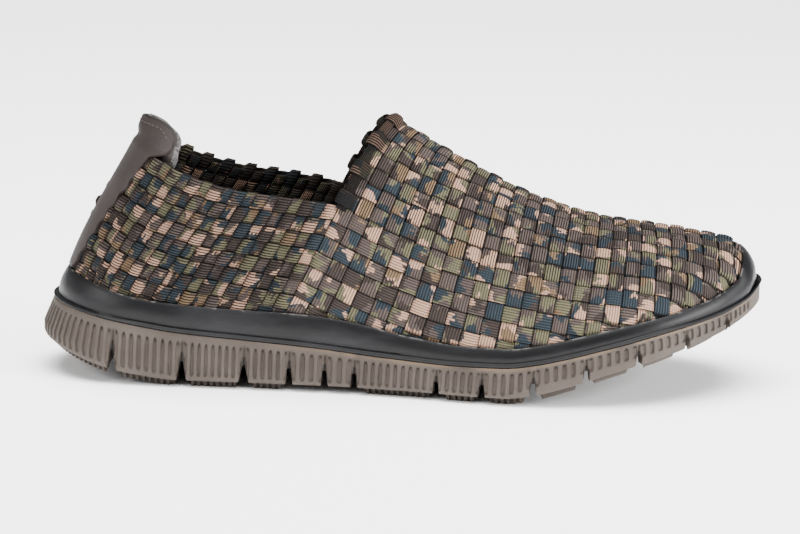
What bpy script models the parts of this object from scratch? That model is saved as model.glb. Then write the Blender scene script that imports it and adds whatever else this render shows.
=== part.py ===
"""Woven slip-on sneaker for the right foot.

Metres, +Z up, the toe points along +X and the outer side of the foot lies along -Y.
Everything hangs on two forms: the plan and profile of the sole, and the sections of the upper.
A section is one line over the last, from the top of the upper down to its foot on the sole.
"""
import math
from collections import namedtuple

import bmesh
import bpy
from mathutils import Vector
from mathutils.bvhtree import BVHTree

OUTER_SIDE = -1
INNER_SIDE = 1

# Room left between pieces that lie against each other.
SEAT_GAP = 0.0003

# Fineness of the lines that are measured along, and of the slopes read from them.
OUTLINE_STEPS = 600
COLLAR_STEPS = 200
ARC_STEPS = 32
OUTLINE_PROBE = 0.00002
HEEL_PROBE = 0.0004
MERGE = 0.00005

# Sole unit.
SOLE_BACK_X = -0.1455
SOLE_TIP_X = 0.1455
HEEL_ROUND_X = -0.108
TOE_ROUND_X = 0.060
TOE_ROUND_POWER = 2.3
PAD_HEIGHT = 0.0028
PAD_INSET = 0.0042
PAD_END_RUN = 0.0016
PAD_MARGIN = 0.0042
GROOVE_SHARE = 0.52
STATION_PITCH = 0.0021
END_INSET = 0.0001
RIB_DEPTH = 0.0007
RIB_ROOF = 0.0009

SolePlan = namedtuple("SolePlan", "x centre half_width")
SOLE_PLAN = (
    SolePlan(-0.1455, 0.0000, 0.0355),
    SolePlan(-0.1100, -0.0005, 0.0355),
    SolePlan(-0.0870, -0.0015, 0.0356),
    SolePlan(-0.0580, -0.0025, 0.0355),
    SolePlan(-0.0290, -0.0035, 0.0358),
    SolePlan(0.0000, -0.0045, 0.0385),
    SolePlan(0.0290, -0.0040, 0.0450),
    SolePlan(0.0520, -0.0025, 0.0495),
    SolePlan(0.0730, -0.0005, 0.0512),
    SolePlan(0.1020, 0.0020, 0.0520),
    SolePlan(0.1250, 0.0048, 0.0510),
    SolePlan(0.1455, 0.0080, 0.0500),
)

# Floor is the underside of the pads, top the upper face, flare how far the wall swells past it.
SoleProfile = namedtuple("SoleProfile", "x floor top flare")
SOLE_PROFILE = (
    SoleProfile(-0.1455, 0.0112, 0.0298, 0.0045),
    SoleProfile(-0.1330, 0.0078, 0.0282, 0.0041),
    SoleProfile(-0.1200, 0.0044, 0.0262, 0.0036),
    SoleProfile(-0.1050, 0.0016, 0.0238, 0.0032),
    SoleProfile(-0.0890, 0.0000, 0.0217, 0.0028),
    SoleProfile(-0.0590, 0.0000, 0.0196, 0.0024),
    SoleProfile(-0.0370, 0.0000, 0.0181, 0.0022),
    SoleProfile(-0.0080, 0.0000, 0.0156, 0.0022),
    SoleProfile(0.0200, 0.0000, 0.0143, 0.0022),
    SoleProfile(0.0420, 0.0000, 0.0147, 0.0021),
    SoleProfile(0.0550, 0.0018, 0.0165, 0.0020),
    SoleProfile(0.0680, 0.0054, 0.0195, 0.0018),
    SoleProfile(0.0870, 0.0115, 0.0244, 0.0014),
    SoleProfile(0.1060, 0.0168, 0.0291, 0.0010),
    SoleProfile(0.1270, 0.0230, 0.0336, 0.0006),
    SoleProfile(0.1400, 0.0282, 0.0374, 0.0003),
    SoleProfile(0.1455, 0.0308, 0.0410, 0.0000),
)

# One block of the tread lies behind each of these flex grooves; some blocks carry a pad.
SoleBlock = namedtuple("SoleBlock", "groove_x padded")
SOLE_BLOCKS = (
    SoleBlock(-0.1145, True),
    SoleBlock(-0.0862, True),
    SoleBlock(-0.0612, True),
    SoleBlock(-0.0430, True),
    SoleBlock(-0.0288, False),
    SoleBlock(-0.0170, False),
    SoleBlock(0.0157, True),
    SoleBlock(0.0340, True),
    SoleBlock(0.0545, True),
    SoleBlock(0.0755, True),
    SoleBlock(0.0962, True),
    SoleBlock(0.1155, True),
    SoleBlock(0.1318, True),
)

# Lines round the side of the sole, from the pads up. Share is of the wall's own height.
SoleLine = namedtuple("SoleLine", "share inset ribbed")
SOLE_LINES = (
    SoleLine(0.00, 0.0012, False),
    SoleLine(0.14, 0.0000, True),
    SoleLine(0.78, 0.0000, True),
    SoleLine(1.00, 0.0000, False),
)
SWELL_SHARE = 0.30

# Upper. Columns are straps over the foot, counted from the back of the heel to the toe.
QUARTER_COLUMNS = 20
VAMP_COLUMNS = 26
TOE_EXTRA_COLUMNS = 2
ROW_PITCH = 0.0067
COLLAR_ROW = 7
MAX_ROW = 19
WALL = 0.0018
STRAP_RELIEF = 0.0006
COVER_REACH = 0.0060
GAP_FRAME = 0.0017
LEAST_RAISED_AREA = 0.000016
FOOT_INSET = 0.0042
QUARTER_FOOT_X = -0.0520
LEAST_ROW_SHARE = 0.35

# Mid is halfway between the ridge and the foot of a section, lean how far the ridge is ahead.
# Sweep draws the shoulder back, rise lifts the side, crown spreads the top, bulge swells the side.
VampSection = namedtuple("VampSection", "mid lean ridge_y ridge_z sweep rise crown bulge")
VAMP_SECTIONS = (
    VampSection(-0.0278, 0.0485, -0.0020, 0.1050, 0.0110, 0.50, 0.61, 0.0054),
    VampSection(0.0070, 0.0290, -0.0005, 0.0902, 0.0060, 0.50, 0.60, 0.0040),
    VampSection(0.0480, 0.0130, 0.0010, 0.0736, 0.0030, 0.52, 0.60, 0.0026),
    VampSection(0.0770, 0.0060, 0.0025, 0.0655, 0.0000, 0.54, 0.60, 0.0018),
    VampSection(0.0980, 0.0000, 0.0040, 0.0627, -0.0010, 0.57, 0.61, 0.0014),
    VampSection(0.1140, -0.0030, 0.0055, 0.0606, -0.0015, 0.60, 0.63, 0.0012),
    VampSection(0.1300, -0.0030, 0.0070, 0.0579, -0.0010, 0.60, 0.65, 0.0008),
    VampSection(0.1413, 0.0000, 0.0080, 0.0565, 0.0000, 0.60, 0.65, 0.0000),
)
TOE_FALL_X = 0.1300
TOE_FALL_POWER = 3.0
TIP_X = VAMP_SECTIONS[-1].mid

# Small gaps that the weave leaves open beside the throat, by the crossing they take up.
WeaveGap = namedtuple("WeaveGap", "column row")
WEAVE_GAPS = (
    WeaveGap(18.5, 0.5),
    WeaveGap(20.5, 4.5),
    WeaveGap(20.5, 6.5),
)

CollarPlan = namedtuple("CollarPlan", "x half_width height")
COLLAR_PLAN = (
    CollarPlan(-0.1078, 0.0225, 0.0932),
    CollarPlan(-0.0990, 0.0228, 0.0905),
    CollarPlan(-0.0900, 0.0234, 0.0862),
    CollarPlan(-0.0810, 0.0245, 0.0828),
    CollarPlan(-0.0650, 0.0260, 0.0792),
    CollarPlan(-0.0490, 0.0262, 0.0776),
    CollarPlan(-0.0270, 0.0255, 0.0753),
)
COLLAR_ROUND_X = -0.0880

# Where the two middle points of a quarter section stand between collar and foot.
QUARTER_SHOULDER_DROP = 0.30
QUARTER_SHOULDER_OUT = 0.29
QUARTER_SIDE_DROP = 0.66
QUARTER_SIDE_OUT = 0.82
QUARTER_BULGE = 0.0014
THROAT_FADE = 3

# Rand.
RAND_THICK = 0.0020
RAND_LIP_OUT = 0.0006
RAND_LIP_THICK = 0.0014
RAND_TOP_THICK = 0.0014
RAND_COLUMNS = 80
RAND_CROWDING = 0.38
RAND_SEAT = 0.0004
RAND_STAND = 0.0009
RAND_CAST = 0.040
RAND_SHARES = (0.04, 0.40, 0.74, 1.00)
RAND_HOLLOW_RISE = 1.6

RandBand = namedtuple("RandBand", "x top")
RAND_BAND = (
    RandBand(-0.1368, 0.0410),
    RandBand(-0.1310, 0.0404),
    RandBand(-0.1230, 0.0384),
    RandBand(-0.1110, 0.0354),
    RandBand(-0.0970, 0.0331),
    RandBand(-0.0730, 0.0316),
    RandBand(-0.0370, 0.0304),
    RandBand(-0.0150, 0.0276),
    RandBand(0.0060, 0.0236),
    RandBand(0.0270, 0.0216),
    RandBand(0.0440, 0.0217),
    RandBand(0.0570, 0.0238),
    RandBand(0.0750, 0.0282),
    RandBand(0.0920, 0.0323),
    RandBand(0.1100, 0.0361),
    RandBand(0.1270, 0.0410),
    RandBand(0.1340, 0.0446),
    RandBand(0.1380, 0.0510),
    RandBand(0.1413, 0.0553),
)

# Heel strip and the flap inside the tab. Up is measured along the heel from its foot, and each
# row gives how far the leather reaches round to the outer and to the inner side of the shoe.
STRIP_THICK = 0.0016
STRIP_CLEAR = 0.0006
STRIP_COLUMN_WIDTH = 0.0055
STRIP_ACROSS = 10
TAB_PINCH = 32.0
TAB_PINCH_START = 0.0033

StripRow = namedtuple("StripRow", "up outer inner")
STRIP_ROWS = (
    StripRow(0.0132, 0.0125, 0.0085),
    StripRow(0.0230, 0.0160, 0.0075),
    StripRow(0.0310, 0.0175, 0.0060),
    StripRow(0.0400, 0.0188, 0.0055),
    StripRow(0.0500, 0.0204, 0.0070),
    StripRow(0.0600, 0.0220, 0.0120),
    StripRow(0.0690, 0.0232, 0.0200),
    StripRow(0.0706, 0.0258, 0.0243),
    StripRow(0.0722, 0.0290, 0.0285),
    StripRow(0.0752, 0.0315, 0.0315),
    StripRow(0.0778, 0.0290, 0.0290),
    StripRow(0.0802, 0.0240, 0.0240),
    StripRow(0.0818, 0.0170, 0.0170),
    StripRow(0.0827, 0.0090, 0.0090),
)
LINING_ROWS = (
    StripRow(0.0570, 0.0200, 0.0200),
    StripRow(0.0620, 0.0300, 0.0300),
    StripRow(0.0670, 0.0340, 0.0340),
    StripRow(0.0720, 0.0335, 0.0335),
    StripRow(0.0752, 0.0315, 0.0315),
    StripRow(0.0778, 0.0290, 0.0290),
    StripRow(0.0802, 0.0240, 0.0240),
    StripRow(0.0818, 0.0170, 0.0170),
    StripRow(0.0827, 0.0090, 0.0090),
)

# Insole.
INSOLE_THICK = 0.0030
INSOLE_STATIONS = 28
INSOLE_CLEAR = 0.0010
INSOLE_END_SHARE = 0.4


def clear_scene():
    """Remove every object so that the build starts from nothing."""
    for thing in list(bpy.data.objects):
        bpy.data.objects.remove(thing, do_unlink=True)


def table_value(rows, key, column, at):
    """Read a column of a table at a place between its rows, without overshoot."""
    keys = [getattr(row, key) for row in rows]
    values = [getattr(row, column) for row in rows]
    if at <= keys[0]:
        return values[0]
    if at >= keys[-1]:
        return values[-1]
    i = max(n for n in range(len(keys) - 1) if keys[n] <= at)
    slopes = [(values[n + 1] - values[n]) / (keys[n + 1] - keys[n]) for n in range(len(keys) - 1)]

    def tangent(n):
        if n == 0 or n == len(keys) - 1:
            return slopes[min(n, len(slopes) - 1)]
        before = slopes[n - 1]
        after = slopes[n]
        if before * after <= 0.0:
            return 0.0
        return 2.0 * before * after / (before + after)

    span = keys[i + 1] - keys[i]
    t = (at - keys[i]) / span
    start = (1.0 + 2.0 * t) * (1.0 - t) ** 2 * values[i]
    leave = t * (1.0 - t) ** 2 * span * tangent(i)
    end = t * t * (3.0 - 2.0 * t) * values[i + 1]
    arrive = t * t * (t - 1.0) * span * tangent(i + 1)
    return start + leave + end + arrive


def round_share(at, start, end, power):
    """Share of a width that is left where a plan rounds off between start and end."""
    u = (at - start) / (end - start)
    return math.sqrt(max(0.0, 1.0 - max(0.0, u) ** power))


def sole_half_width(x):
    """Half the width of the sole at a place along it."""
    width = table_value(SOLE_PLAN, "x", "half_width", x)
    width *= round_share(x, HEEL_ROUND_X, SOLE_BACK_X, 2.0)
    return width * round_share(x, TOE_ROUND_X, SOLE_TIP_X, TOE_ROUND_POWER)


def plan_edge(x, side):
    """Point of the sole's widest outline, before it is centred."""
    return Vector((x, table_value(SOLE_PLAN, "x", "centre", x) + side * sole_half_width(x), 0.0))


def spread_x(steps):
    """Places along the sole that crowd towards both of its ends."""
    middle = (SOLE_BACK_X + SOLE_TIP_X) / 2
    reach = (SOLE_TIP_X - SOLE_BACK_X) / 2
    return [middle - reach * math.cos(math.pi * n / steps) for n in range(steps + 1)]


def arc_lengths(points):
    """Distance of each point along a line of points."""
    lengths = [0.0]
    for before, after in zip(points, points[1:]):
        lengths.append(lengths[-1] + (after - before).length)
    return lengths


def value_at(lengths, values, distance):
    """Value at a distance along a line, between the two nearest known ones."""
    for n in range(1, len(lengths)):
        if lengths[n] >= distance:
            part = (distance - lengths[n - 1]) / max(lengths[n] - lengths[n - 1], 1e-9)
            return values[n - 1] + (values[n] - values[n - 1]) * part
    return values[-1]


FINE_X = spread_x(OUTLINE_STEPS)
PLAN_SHIFT = -(min(plan_edge(x, OUTER_SIDE).y for x in FINE_X)
               + max(plan_edge(x, INNER_SIDE).y for x in FINE_X)) / 2


def sole_edge(x, side, inset):
    """Point of the sole's outline, drawn in by an inset at right angles to it."""
    low = max(SOLE_BACK_X, x - OUTLINE_PROBE)
    high = min(SOLE_TIP_X, x + OUTLINE_PROBE)
    along = plan_edge(high, side) - plan_edge(low, side)
    outward = Vector((-along.y * side, along.x * side, 0.0))
    if x <= SOLE_BACK_X or x >= SOLE_TIP_X:
        outward = Vector((math.copysign(1.0, x), 0.0, 0.0))
    outward.normalize()
    return plan_edge(x, side) + Vector((0.0, PLAN_SHIFT, 0.0)) - outward * inset, outward


def sole_value(column, x):
    """A column of the sole's profile at a place along it."""
    return table_value(SOLE_PROFILE, "x", column, x)


def foot_point(x, side):
    """Where the upper's outer face meets the sole."""
    point, outward = sole_edge(x, side, sole_value("flare", x) + FOOT_INSET)
    point.z = sole_value("top", point.x) + SEAT_GAP
    return point, outward


def heel_share_x(share, side):
    """Place along the sole at a share of the way from the heel's back to the quarter's end."""
    places = [x for x in FINE_X if x <= QUARTER_FOOT_X]
    lengths = arc_lengths([plan_edge(x, side) for x in places])
    return value_at(lengths, places, share * lengths[-1])


def collar_point(share, side):
    """Point of the collar's edge at a share of the way from the heel to the throat."""
    back = COLLAR_PLAN[0].x
    front = COLLAR_PLAN[-1].x
    points = []
    for n in range(COLLAR_STEPS + 1):
        x = back + (front - back) * (n / COLLAR_STEPS) ** 2
        width = table_value(COLLAR_PLAN, "x", "half_width", x)
        width *= round_share(x, COLLAR_ROUND_X, back, 2.0)
        points.append(Vector((x, side * width, table_value(COLLAR_PLAN, "x", "height", x))))
    lengths = arc_lengths(points)
    return value_at(lengths, points, share * lengths[-1])


def vamp_section(mid, side):
    """Four shaping points of a section over the forefoot, from the ridge to the foot."""
    lean, ridge_y, ridge_z, sweep, rise, crown, bulge = (
        table_value(VAMP_SECTIONS, "mid", column, mid) for column in VampSection._fields[1:])
    foot, _ = foot_point(mid - lean / 2 if mid < TIP_X else SOLE_TIP_X, side)
    fall = round_share(mid, TOE_FALL_X, TIP_X, TOE_FALL_POWER)
    ridge_z = foot.z + (ridge_z - foot.z) * fall
    ridge = Vector((min(mid + lean / 2, TIP_X), ridge_y + PLAN_SHIFT, ridge_z))
    if mid >= TIP_X:
        ridge = foot.copy()
    shoulder = Vector((ridge.x - sweep, ridge.y + crown * (foot.y - ridge.y), ridge.z))
    flank = foot + (ridge - foot) * rise
    flank.y = foot.y + side * bulge * fall
    return [ridge, shoulder, flank, foot]


def section_point(section, t):
    """Point of a section at a share of its own run."""
    s = 1.0 - t
    top, shoulder, flank, foot = section
    return top * s ** 3 + shoulder * (3 * s * s * t) + flank * (3 * s * t * t) + foot * t ** 3


def section_lengths(section):
    """Distances from the top of a section at even steps of its run."""
    return arc_lengths([section_point(section, n / ARC_STEPS) for n in range(ARC_STEPS + 1)])


def section_at(section, distance):
    """Point of a section at a distance from its top; past the top it goes on straight."""
    if distance < 0.0:
        return section[0] + (section[0] - section[1]).normalized() * -distance
    lengths = section_lengths(section)
    runs = [n / ARC_STEPS for n in range(ARC_STEPS + 1)]
    return section_point(section, value_at(lengths, runs, distance))


def lower_part(section, distance):
    """Shaping points of the part of a section that lies below a distance from its top."""
    runs = [n / ARC_STEPS for n in range(ARC_STEPS + 1)]
    t = value_at(section_lengths(section), runs, distance)
    a, b, c, d = section
    ab = a.lerp(b, t)
    bc = b.lerp(c, t)
    cd = c.lerp(d, t)
    abc = ab.lerp(bc, t)
    bcd = bc.lerp(cd, t)
    return [abc.lerp(bcd, t), bcd, cd, d]


def plain_quarter(share, side, top):
    """Shaping points of a section beside the heel, before it is drawn to the throat."""
    foot, outward = foot_point(heel_share_x(share, side), side)
    swell = outward * QUARTER_BULGE
    shoulder = top.lerp(foot, QUARTER_SHOULDER_OUT) + swell
    shoulder.z = top.z + (foot.z - top.z) * QUARTER_SHOULDER_DROP
    flank = top.lerp(foot, QUARTER_SIDE_OUT) + swell
    flank.z = top.z + (foot.z - top.z) * QUARTER_SIDE_DROP
    return [top, shoulder, flank, foot]


def quarter_section(share, side):
    """Shaping points of a section beside the heel, from the collar to the foot."""
    throat = lower_part(vamp_section(VAMP_SECTIONS[0].mid, side), COLLAR_ROW * ROW_PITCH)
    fade = share ** THROAT_FADE
    drawn = throat[0] - collar_point(1.0, side)
    plain = plain_quarter(share, side, collar_point(share, side) + drawn * fade)
    front = plain_quarter(1.0, side, throat[0])
    return [point + (goal - end) * fade for point, goal, end in zip(plain, throat, front)]


def upper_section(column, side):
    """Shaping points of any section, by its column from the heel to the toe."""
    if column < QUARTER_COLUMNS:
        return quarter_section(column / QUARTER_COLUMNS, side)
    share = (column - QUARTER_COLUMNS) / VAMP_COLUMNS
    mid = VAMP_SECTIONS[0].mid + (TIP_X - VAMP_SECTIONS[0].mid) * share
    return vamp_section(mid, side)


def row_distance(section, row, first_row):
    """Distance of a strap row from the top of its section, stopped at the foot."""
    whole = section_lengths(section)[-1]
    distance = (row - first_row) * ROW_PITCH
    if whole - distance < LEAST_ROW_SHARE * ROW_PITCH:
        return whole
    return distance


def toe_column(step):
    """Column of a step along the vamp; the steps crowd together at the tip of the toe."""
    plain = VAMP_COLUMNS - 1
    if step <= plain:
        return QUARTER_COLUMNS + step
    part = (step - plain) / (1 + TOE_EXTRA_COLUMNS)
    return QUARTER_COLUMNS + plain + 1.0 - (1.0 - part) ** 2


def new_object(name, mesh_builder, collection, material):
    """Turn a finished working mesh into a named object."""
    mesh = bpy.data.meshes.new(name)
    mesh_builder.to_mesh(mesh)
    mesh_builder.free()
    thing = bpy.data.objects.new(name, mesh)
    collection.objects.link(thing)
    thing.data.materials.append(material)
    return thing


def apply_modifiers(thing):
    """Replace an object's mesh by what its modifiers make of it."""
    graph = bpy.context.evaluated_depsgraph_get()
    made = bpy.data.meshes.new_from_object(thing.evaluated_get(graph))
    old = thing.data
    thing.modifiers.clear()
    thing.data = made
    bpy.data.meshes.remove(old)


def plain_material(name, colour, roughness):
    """A simple surface finish."""
    material = bpy.data.materials.new(name)
    material.use_nodes = True
    shader = material.node_tree.nodes["Principled BSDF"]
    shader.inputs["Base Color"].default_value = (*colour, 1.0)
    shader.inputs["Roughness"].default_value = roughness
    return material


def mapped_grid(work, across, along, place):
    """Add a grid and put each of its points where a function of its two counts says."""
    made = bmesh.ops.create_grid(work, x_segments=across, y_segments=along, size=1.0)
    for vert in made["verts"]:
        step_x = round((vert.co.x + 1.0) / 2.0 * across)
        step_y = round((vert.co.y + 1.0) / 2.0 * along)
        vert.co = place(step_x, step_y)


def woven_sheet():
    """The upper's outer face as one open sheet with a quad for each strap crossing."""
    work = bmesh.new()
    sections = {}

    def section(column, side):
        if (column, side) not in sections:
            sections[column, side] = upper_section(column, side)
        return sections[column, side]

    def vamp_place(step, row):
        row -= MAX_ROW
        side = INNER_SIDE if row > 0 else OUTER_SIDE
        line = section(toe_column(step), side)
        return section_at(line, row_distance(line, abs(row), 0))

    def quarter_place(step, row):
        column = step - QUARTER_COLUMNS
        side = INNER_SIDE if column > 0 else OUTER_SIDE
        line = section(abs(column), side)
        if abs(column) == QUARTER_COLUMNS:
            line = vamp_section(VAMP_SECTIONS[0].mid, side)
            return section_at(line, row_distance(line, row + COLLAR_ROW, 0))
        return section_at(line, row_distance(line, row + COLLAR_ROW, COLLAR_ROW))

    mapped_grid(work, VAMP_COLUMNS + TOE_EXTRA_COLUMNS, 2 * MAX_ROW, vamp_place)
    mapped_grid(work, 2 * QUARTER_COLUMNS, MAX_ROW - COLLAR_ROW, quarter_place)
    bmesh.ops.remove_doubles(work, verts=work.verts[:], dist=MERGE)
    bmesh.ops.dissolve_degenerate(work, dist=MERGE, edges=work.edges[:])
    bmesh.ops.recalc_face_normals(work, faces=work.faces[:])
    highest = max(work.faces, key=lambda face: face.calc_center_median().z)
    if highest.normal.z < 0.0:
        bmesh.ops.reverse_faces(work, faces=work.faces[:])
    return work


def open_gaps(work):
    """Cut the small gaps that the weave leaves beside the throat."""
    for gap in WEAVE_GAPS:
        for side in (OUTER_SIDE, INNER_SIDE):
            spot = section_at(upper_section(gap.column, side), gap.row * ROW_PITCH)
            work.faces.ensure_lookup_table()
            nearest = min(work.faces, key=lambda face: (face.calc_center_median() - spot).length)
            bmesh.ops.inset_individual(work, faces=[nearest], thickness=GAP_FRAME, use_even_offset=True)
            bmesh.ops.delete(work, geom=[nearest], context="FACES")


def rand_top(x):
    """Height of the rand's upper edge at a place along the shoe."""
    return table_value(RAND_BAND, "x", "top", x)


def outer_tree(thing):
    """Search tree over the faces of a finished object."""
    work = bmesh.new()
    work.from_mesh(thing.data)
    tree = BVHTree.FromBMesh(work)
    work.free()
    return tree


def build_upper(collection, material, covers):
    """The woven wall: a sheet thickened inwards, each open crossing raised to a low point."""
    sheet = woven_sheet()
    open_gaps(sheet)
    upper = new_object("upper", sheet, collection, material)
    shell = upper.modifiers.new("wall", "SOLIDIFY")
    shell.thickness = WALL
    shell.offset = -1.0
    shell.material_offset = 1
    shell.material_offset_rim = 2
    for spare in range(2):
        upper.data.materials.append(material)
    apply_modifiers(upper)
    trees = [outer_tree(cover) for cover in covers]
    work = bmesh.new()
    work.from_mesh(upper.data)
    raised = []
    for face in work.faces:
        places = [face.calc_center_median()] + [vert.co for vert in face.verts]
        places += [(edge.verts[0].co + edge.verts[1].co) / 2 for edge in face.edges]
        hits = [tree.ray_cast(place, face.normal, COVER_REACH)[0]
                for tree in trees for place in places]
        wide = face.calc_area() > LEAST_RAISED_AREA
        if wide and face.material_index == 0 and not any(hits):
            raised.append(face)
        face.material_index = 0
    bmesh.ops.poke(work, faces=raised, offset=STRAP_RELIEF)
    work.to_mesh(upper.data)
    work.free()
    while len(upper.data.materials) > 1:
        upper.data.materials.pop(index=1)
    return upper


def sole_stations():
    """Places along the sole, evenly spaced round its outer edge, two for each rib."""
    lengths = arc_lengths([plan_edge(x, OUTER_SIDE) for x in FINE_X])
    count = 2 * round(lengths[-1] / STATION_PITCH / 2)
    return [value_at(lengths, FINE_X, lengths[-1] * n / count) for n in range(count + 1)]


def groove_stations(stations):
    """Indexes of the stations where the flex grooves lie, each in a valley between ribs."""
    valleys = range(1, len(stations), 2)
    return {min(valleys, key=lambda n: abs(stations[n] - block.groove_x)) for block in SOLE_BLOCKS}


def pad_share(x):
    """How much of a pad's height stands at a place along the sole, from none to all."""
    edges = [SOLE_BACK_X - PAD_MARGIN] + [block.groove_x for block in SOLE_BLOCKS]
    edges.append(SOLE_TIP_X + PAD_MARGIN)
    padded = [block.padded for block in SOLE_BLOCKS] + [True]
    for n, wanted in enumerate(padded):
        if edges[n] <= x <= edges[n + 1]:
            inside = min(x - edges[n], edges[n + 1] - x) - PAD_MARGIN + PAD_END_RUN
            return min(1.0, max(0.0, inside / PAD_END_RUN)) if wanted else 0.0
    return 0.0


def sole_section(x, side, grooved, valley):
    """Points down one side of the sole at a station, from the pad's edge to the top."""
    foot = sole_value("floor", x) + PAD_HEIGHT
    top = sole_value("top", x)
    flare = sole_value("flare", x)
    lift = GROOVE_SHARE * (top - foot) if grooved else 0.0
    pad, _ = sole_edge(x, side, PAD_INSET)
    pad.z = foot + lift if grooved else foot - PAD_HEIGHT * pad_share(x)
    points = [pad]
    least = foot + lift
    for line in SOLE_LINES:
        inset = line.inset + flare * max(0.0, line.share - SWELL_SHARE) / (1.0 - SWELL_SHARE)
        if line.ribbed and valley:
            inset += RIB_DEPTH
        point, _ = sole_edge(x, side, inset)
        point.z = max(least, foot + line.share * (top - foot))
        least = point.z + RIB_ROOF
        points.append(point)
    points[-1].z = sole_value("top", points[-1].x)
    return points


def loft(sections, ring):
    """Skin a run of equal sections; a ring joins its ends, else each end is laddered shut."""
    work = bmesh.new()
    rows = [[work.verts.new(point) for point in section] for section in sections]
    count = len(rows[0])
    pairs = list(zip(rows, rows[1:]))
    if ring:
        pairs.append((rows[-1], rows[0]))
    for before, after in pairs:
        for n in range(count):
            m = (n + 1) % count
            work.faces.new((before[n], before[m], after[m], after[n]))
    if not ring:
        for row in (rows[0], rows[-1]):
            for n in range(count // 2 - 1):
                work.faces.new((row[n], row[n + 1], row[count - 2 - n], row[count - 1 - n]))
    bmesh.ops.recalc_face_normals(work, faces=work.faces[:])
    return work


def build_sole(collection, material):
    """The sole unit with its ribs, flex grooves and pads."""
    stations = sole_stations()
    grooves = groove_stations(stations)
    sections = []
    for n, x in enumerate(stations):
        x = min(max(x, SOLE_BACK_X + END_INSET), SOLE_TIP_X - END_INSET)
        outer = sole_section(x, OUTER_SIDE, n in grooves, n % 2 == 1)
        inner = sole_section(x, INNER_SIDE, n in grooves, n % 2 == 1)
        sections.append(outer + inner[::-1])
    return new_object("sole_unit", loft(sections, False), collection, material)


def build_rand(collection, material, upper_tree):
    """The band round the foot of the upper, its lip below and its bumper at the toe."""
    outline = [(x, OUTER_SIDE) for x in FINE_X] + [(x, INNER_SIDE) for x in FINE_X[::-1]]
    lengths = arc_lengths([plan_edge(x, side) for x, side in outline])
    sections = []
    for n in range(RAND_COLUMNS):
        turn = (n + 0.5) / RAND_COLUMNS
        turn -= RAND_CROWDING * math.sin(4 * math.pi * turn) / (4 * math.pi)
        distance = lengths[-1] * turn
        nearest = min(range(len(lengths)), key=lambda k: abs(lengths[k] - distance))
        x, side = outline[nearest]
        foot, outward = foot_point(x, side)
        height = rand_top(foot.x) - foot.z

        def against(share):
            start = Vector((foot.x, foot.y, foot.z + height * share)) + outward * RAND_CAST
            hit = upper_tree.ray_cast(start, -outward)[0]
            return hit + outward * RAND_STAND

        inner = [against(share) for share in RAND_SHARES]
        inner[0].z = sole_value("top", inner[0].x) + RAND_SEAT
        lip, _ = sole_edge(x, side, sole_value("flare", x) - RAND_LIP_OUT)
        lip.z = sole_value("top", lip.x) + RAND_SEAT
        rise = Vector((0.0, 0.0, RAND_LIP_THICK))
        outer = [point + outward * RAND_THICK for point in inner]
        outer[0] += rise * RAND_HOLLOW_RISE
        outer[-1] = inner[-1] + outward * RAND_TOP_THICK
        sections.append([lip, lip + rise] + outer + inner[::-1])
    return new_object("rand", loft(sections, True), collection, material)


def heel_frame(across, up, offset):
    """Point over the heel's middle, by distance across and up, stood off from the upper."""
    def place(a, u):
        side = INNER_SIDE if a > 0.0 else OUTER_SIDE
        section = upper_section(abs(a) / STRIP_COLUMN_WIDTH, side)
        past_foot = section_lengths(section)[-1] - u
        point = section_at(section, past_foot)
        point.y *= 1.0 - TAB_PINCH * max(0.0, -past_foot - TAB_PINCH_START)
        return point

    along = place(across + HEEL_PROBE, up) - place(across - HEEL_PROBE, up)
    climb = place(across, up + HEEL_PROBE) - place(across, up - HEEL_PROBE)
    outward = climb.cross(along).normalized()
    return place(across, up) + outward * offset


def heel_piece(name, rows, offset, collection, material):
    """A leather piece over the heel, as wide at each height as its table says."""
    def place(step, row):
        share = step / STRIP_ACROSS
        across = -rows[row].outer + (rows[row].outer + rows[row].inner) * share
        return heel_frame(across, rows[row].up, offset)

    work = bmesh.new()
    mapped_grid(work, STRIP_ACROSS, len(rows) - 1, place)
    bmesh.ops.recalc_face_normals(work, faces=work.faces[:])
    if sum((face.normal.x for face in work.faces), 0.0) > 0.0:
        bmesh.ops.reverse_faces(work, faces=work.faces[:])
    piece = new_object(name, work, collection, material)
    sheet = piece.modifiers.new("leather", "SOLIDIFY")
    sheet.thickness = STRIP_THICK
    sheet.offset = -1.0
    apply_modifiers(piece)
    return piece


def build_insole(collection, material):
    """The footbed slab inside the upper."""
    lengths = arc_lengths([plan_edge(x, OUTER_SIDE) for x in FINE_X])
    sections = []
    for n in range(INSOLE_STATIONS + 1):
        share = (n + INSOLE_END_SHARE) / (INSOLE_STATIONS + 2 * INSOLE_END_SHARE)
        x = value_at(lengths, FINE_X, lengths[-1] * share)
        ring = []
        for side, lift in ((OUTER_SIDE, 0), (OUTER_SIDE, 1), (INNER_SIDE, 1), (INNER_SIDE, 0)):
            inset = sole_value("flare", x) + FOOT_INSET + WALL + INSOLE_CLEAR
            point, _ = sole_edge(x, side, inset)
            point.z = sole_value("top", point.x) + SEAT_GAP + lift * INSOLE_THICK
            ring.append(point)
        sections.append(ring)
    return new_object("insole", loft(sections, False), collection, material)


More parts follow.
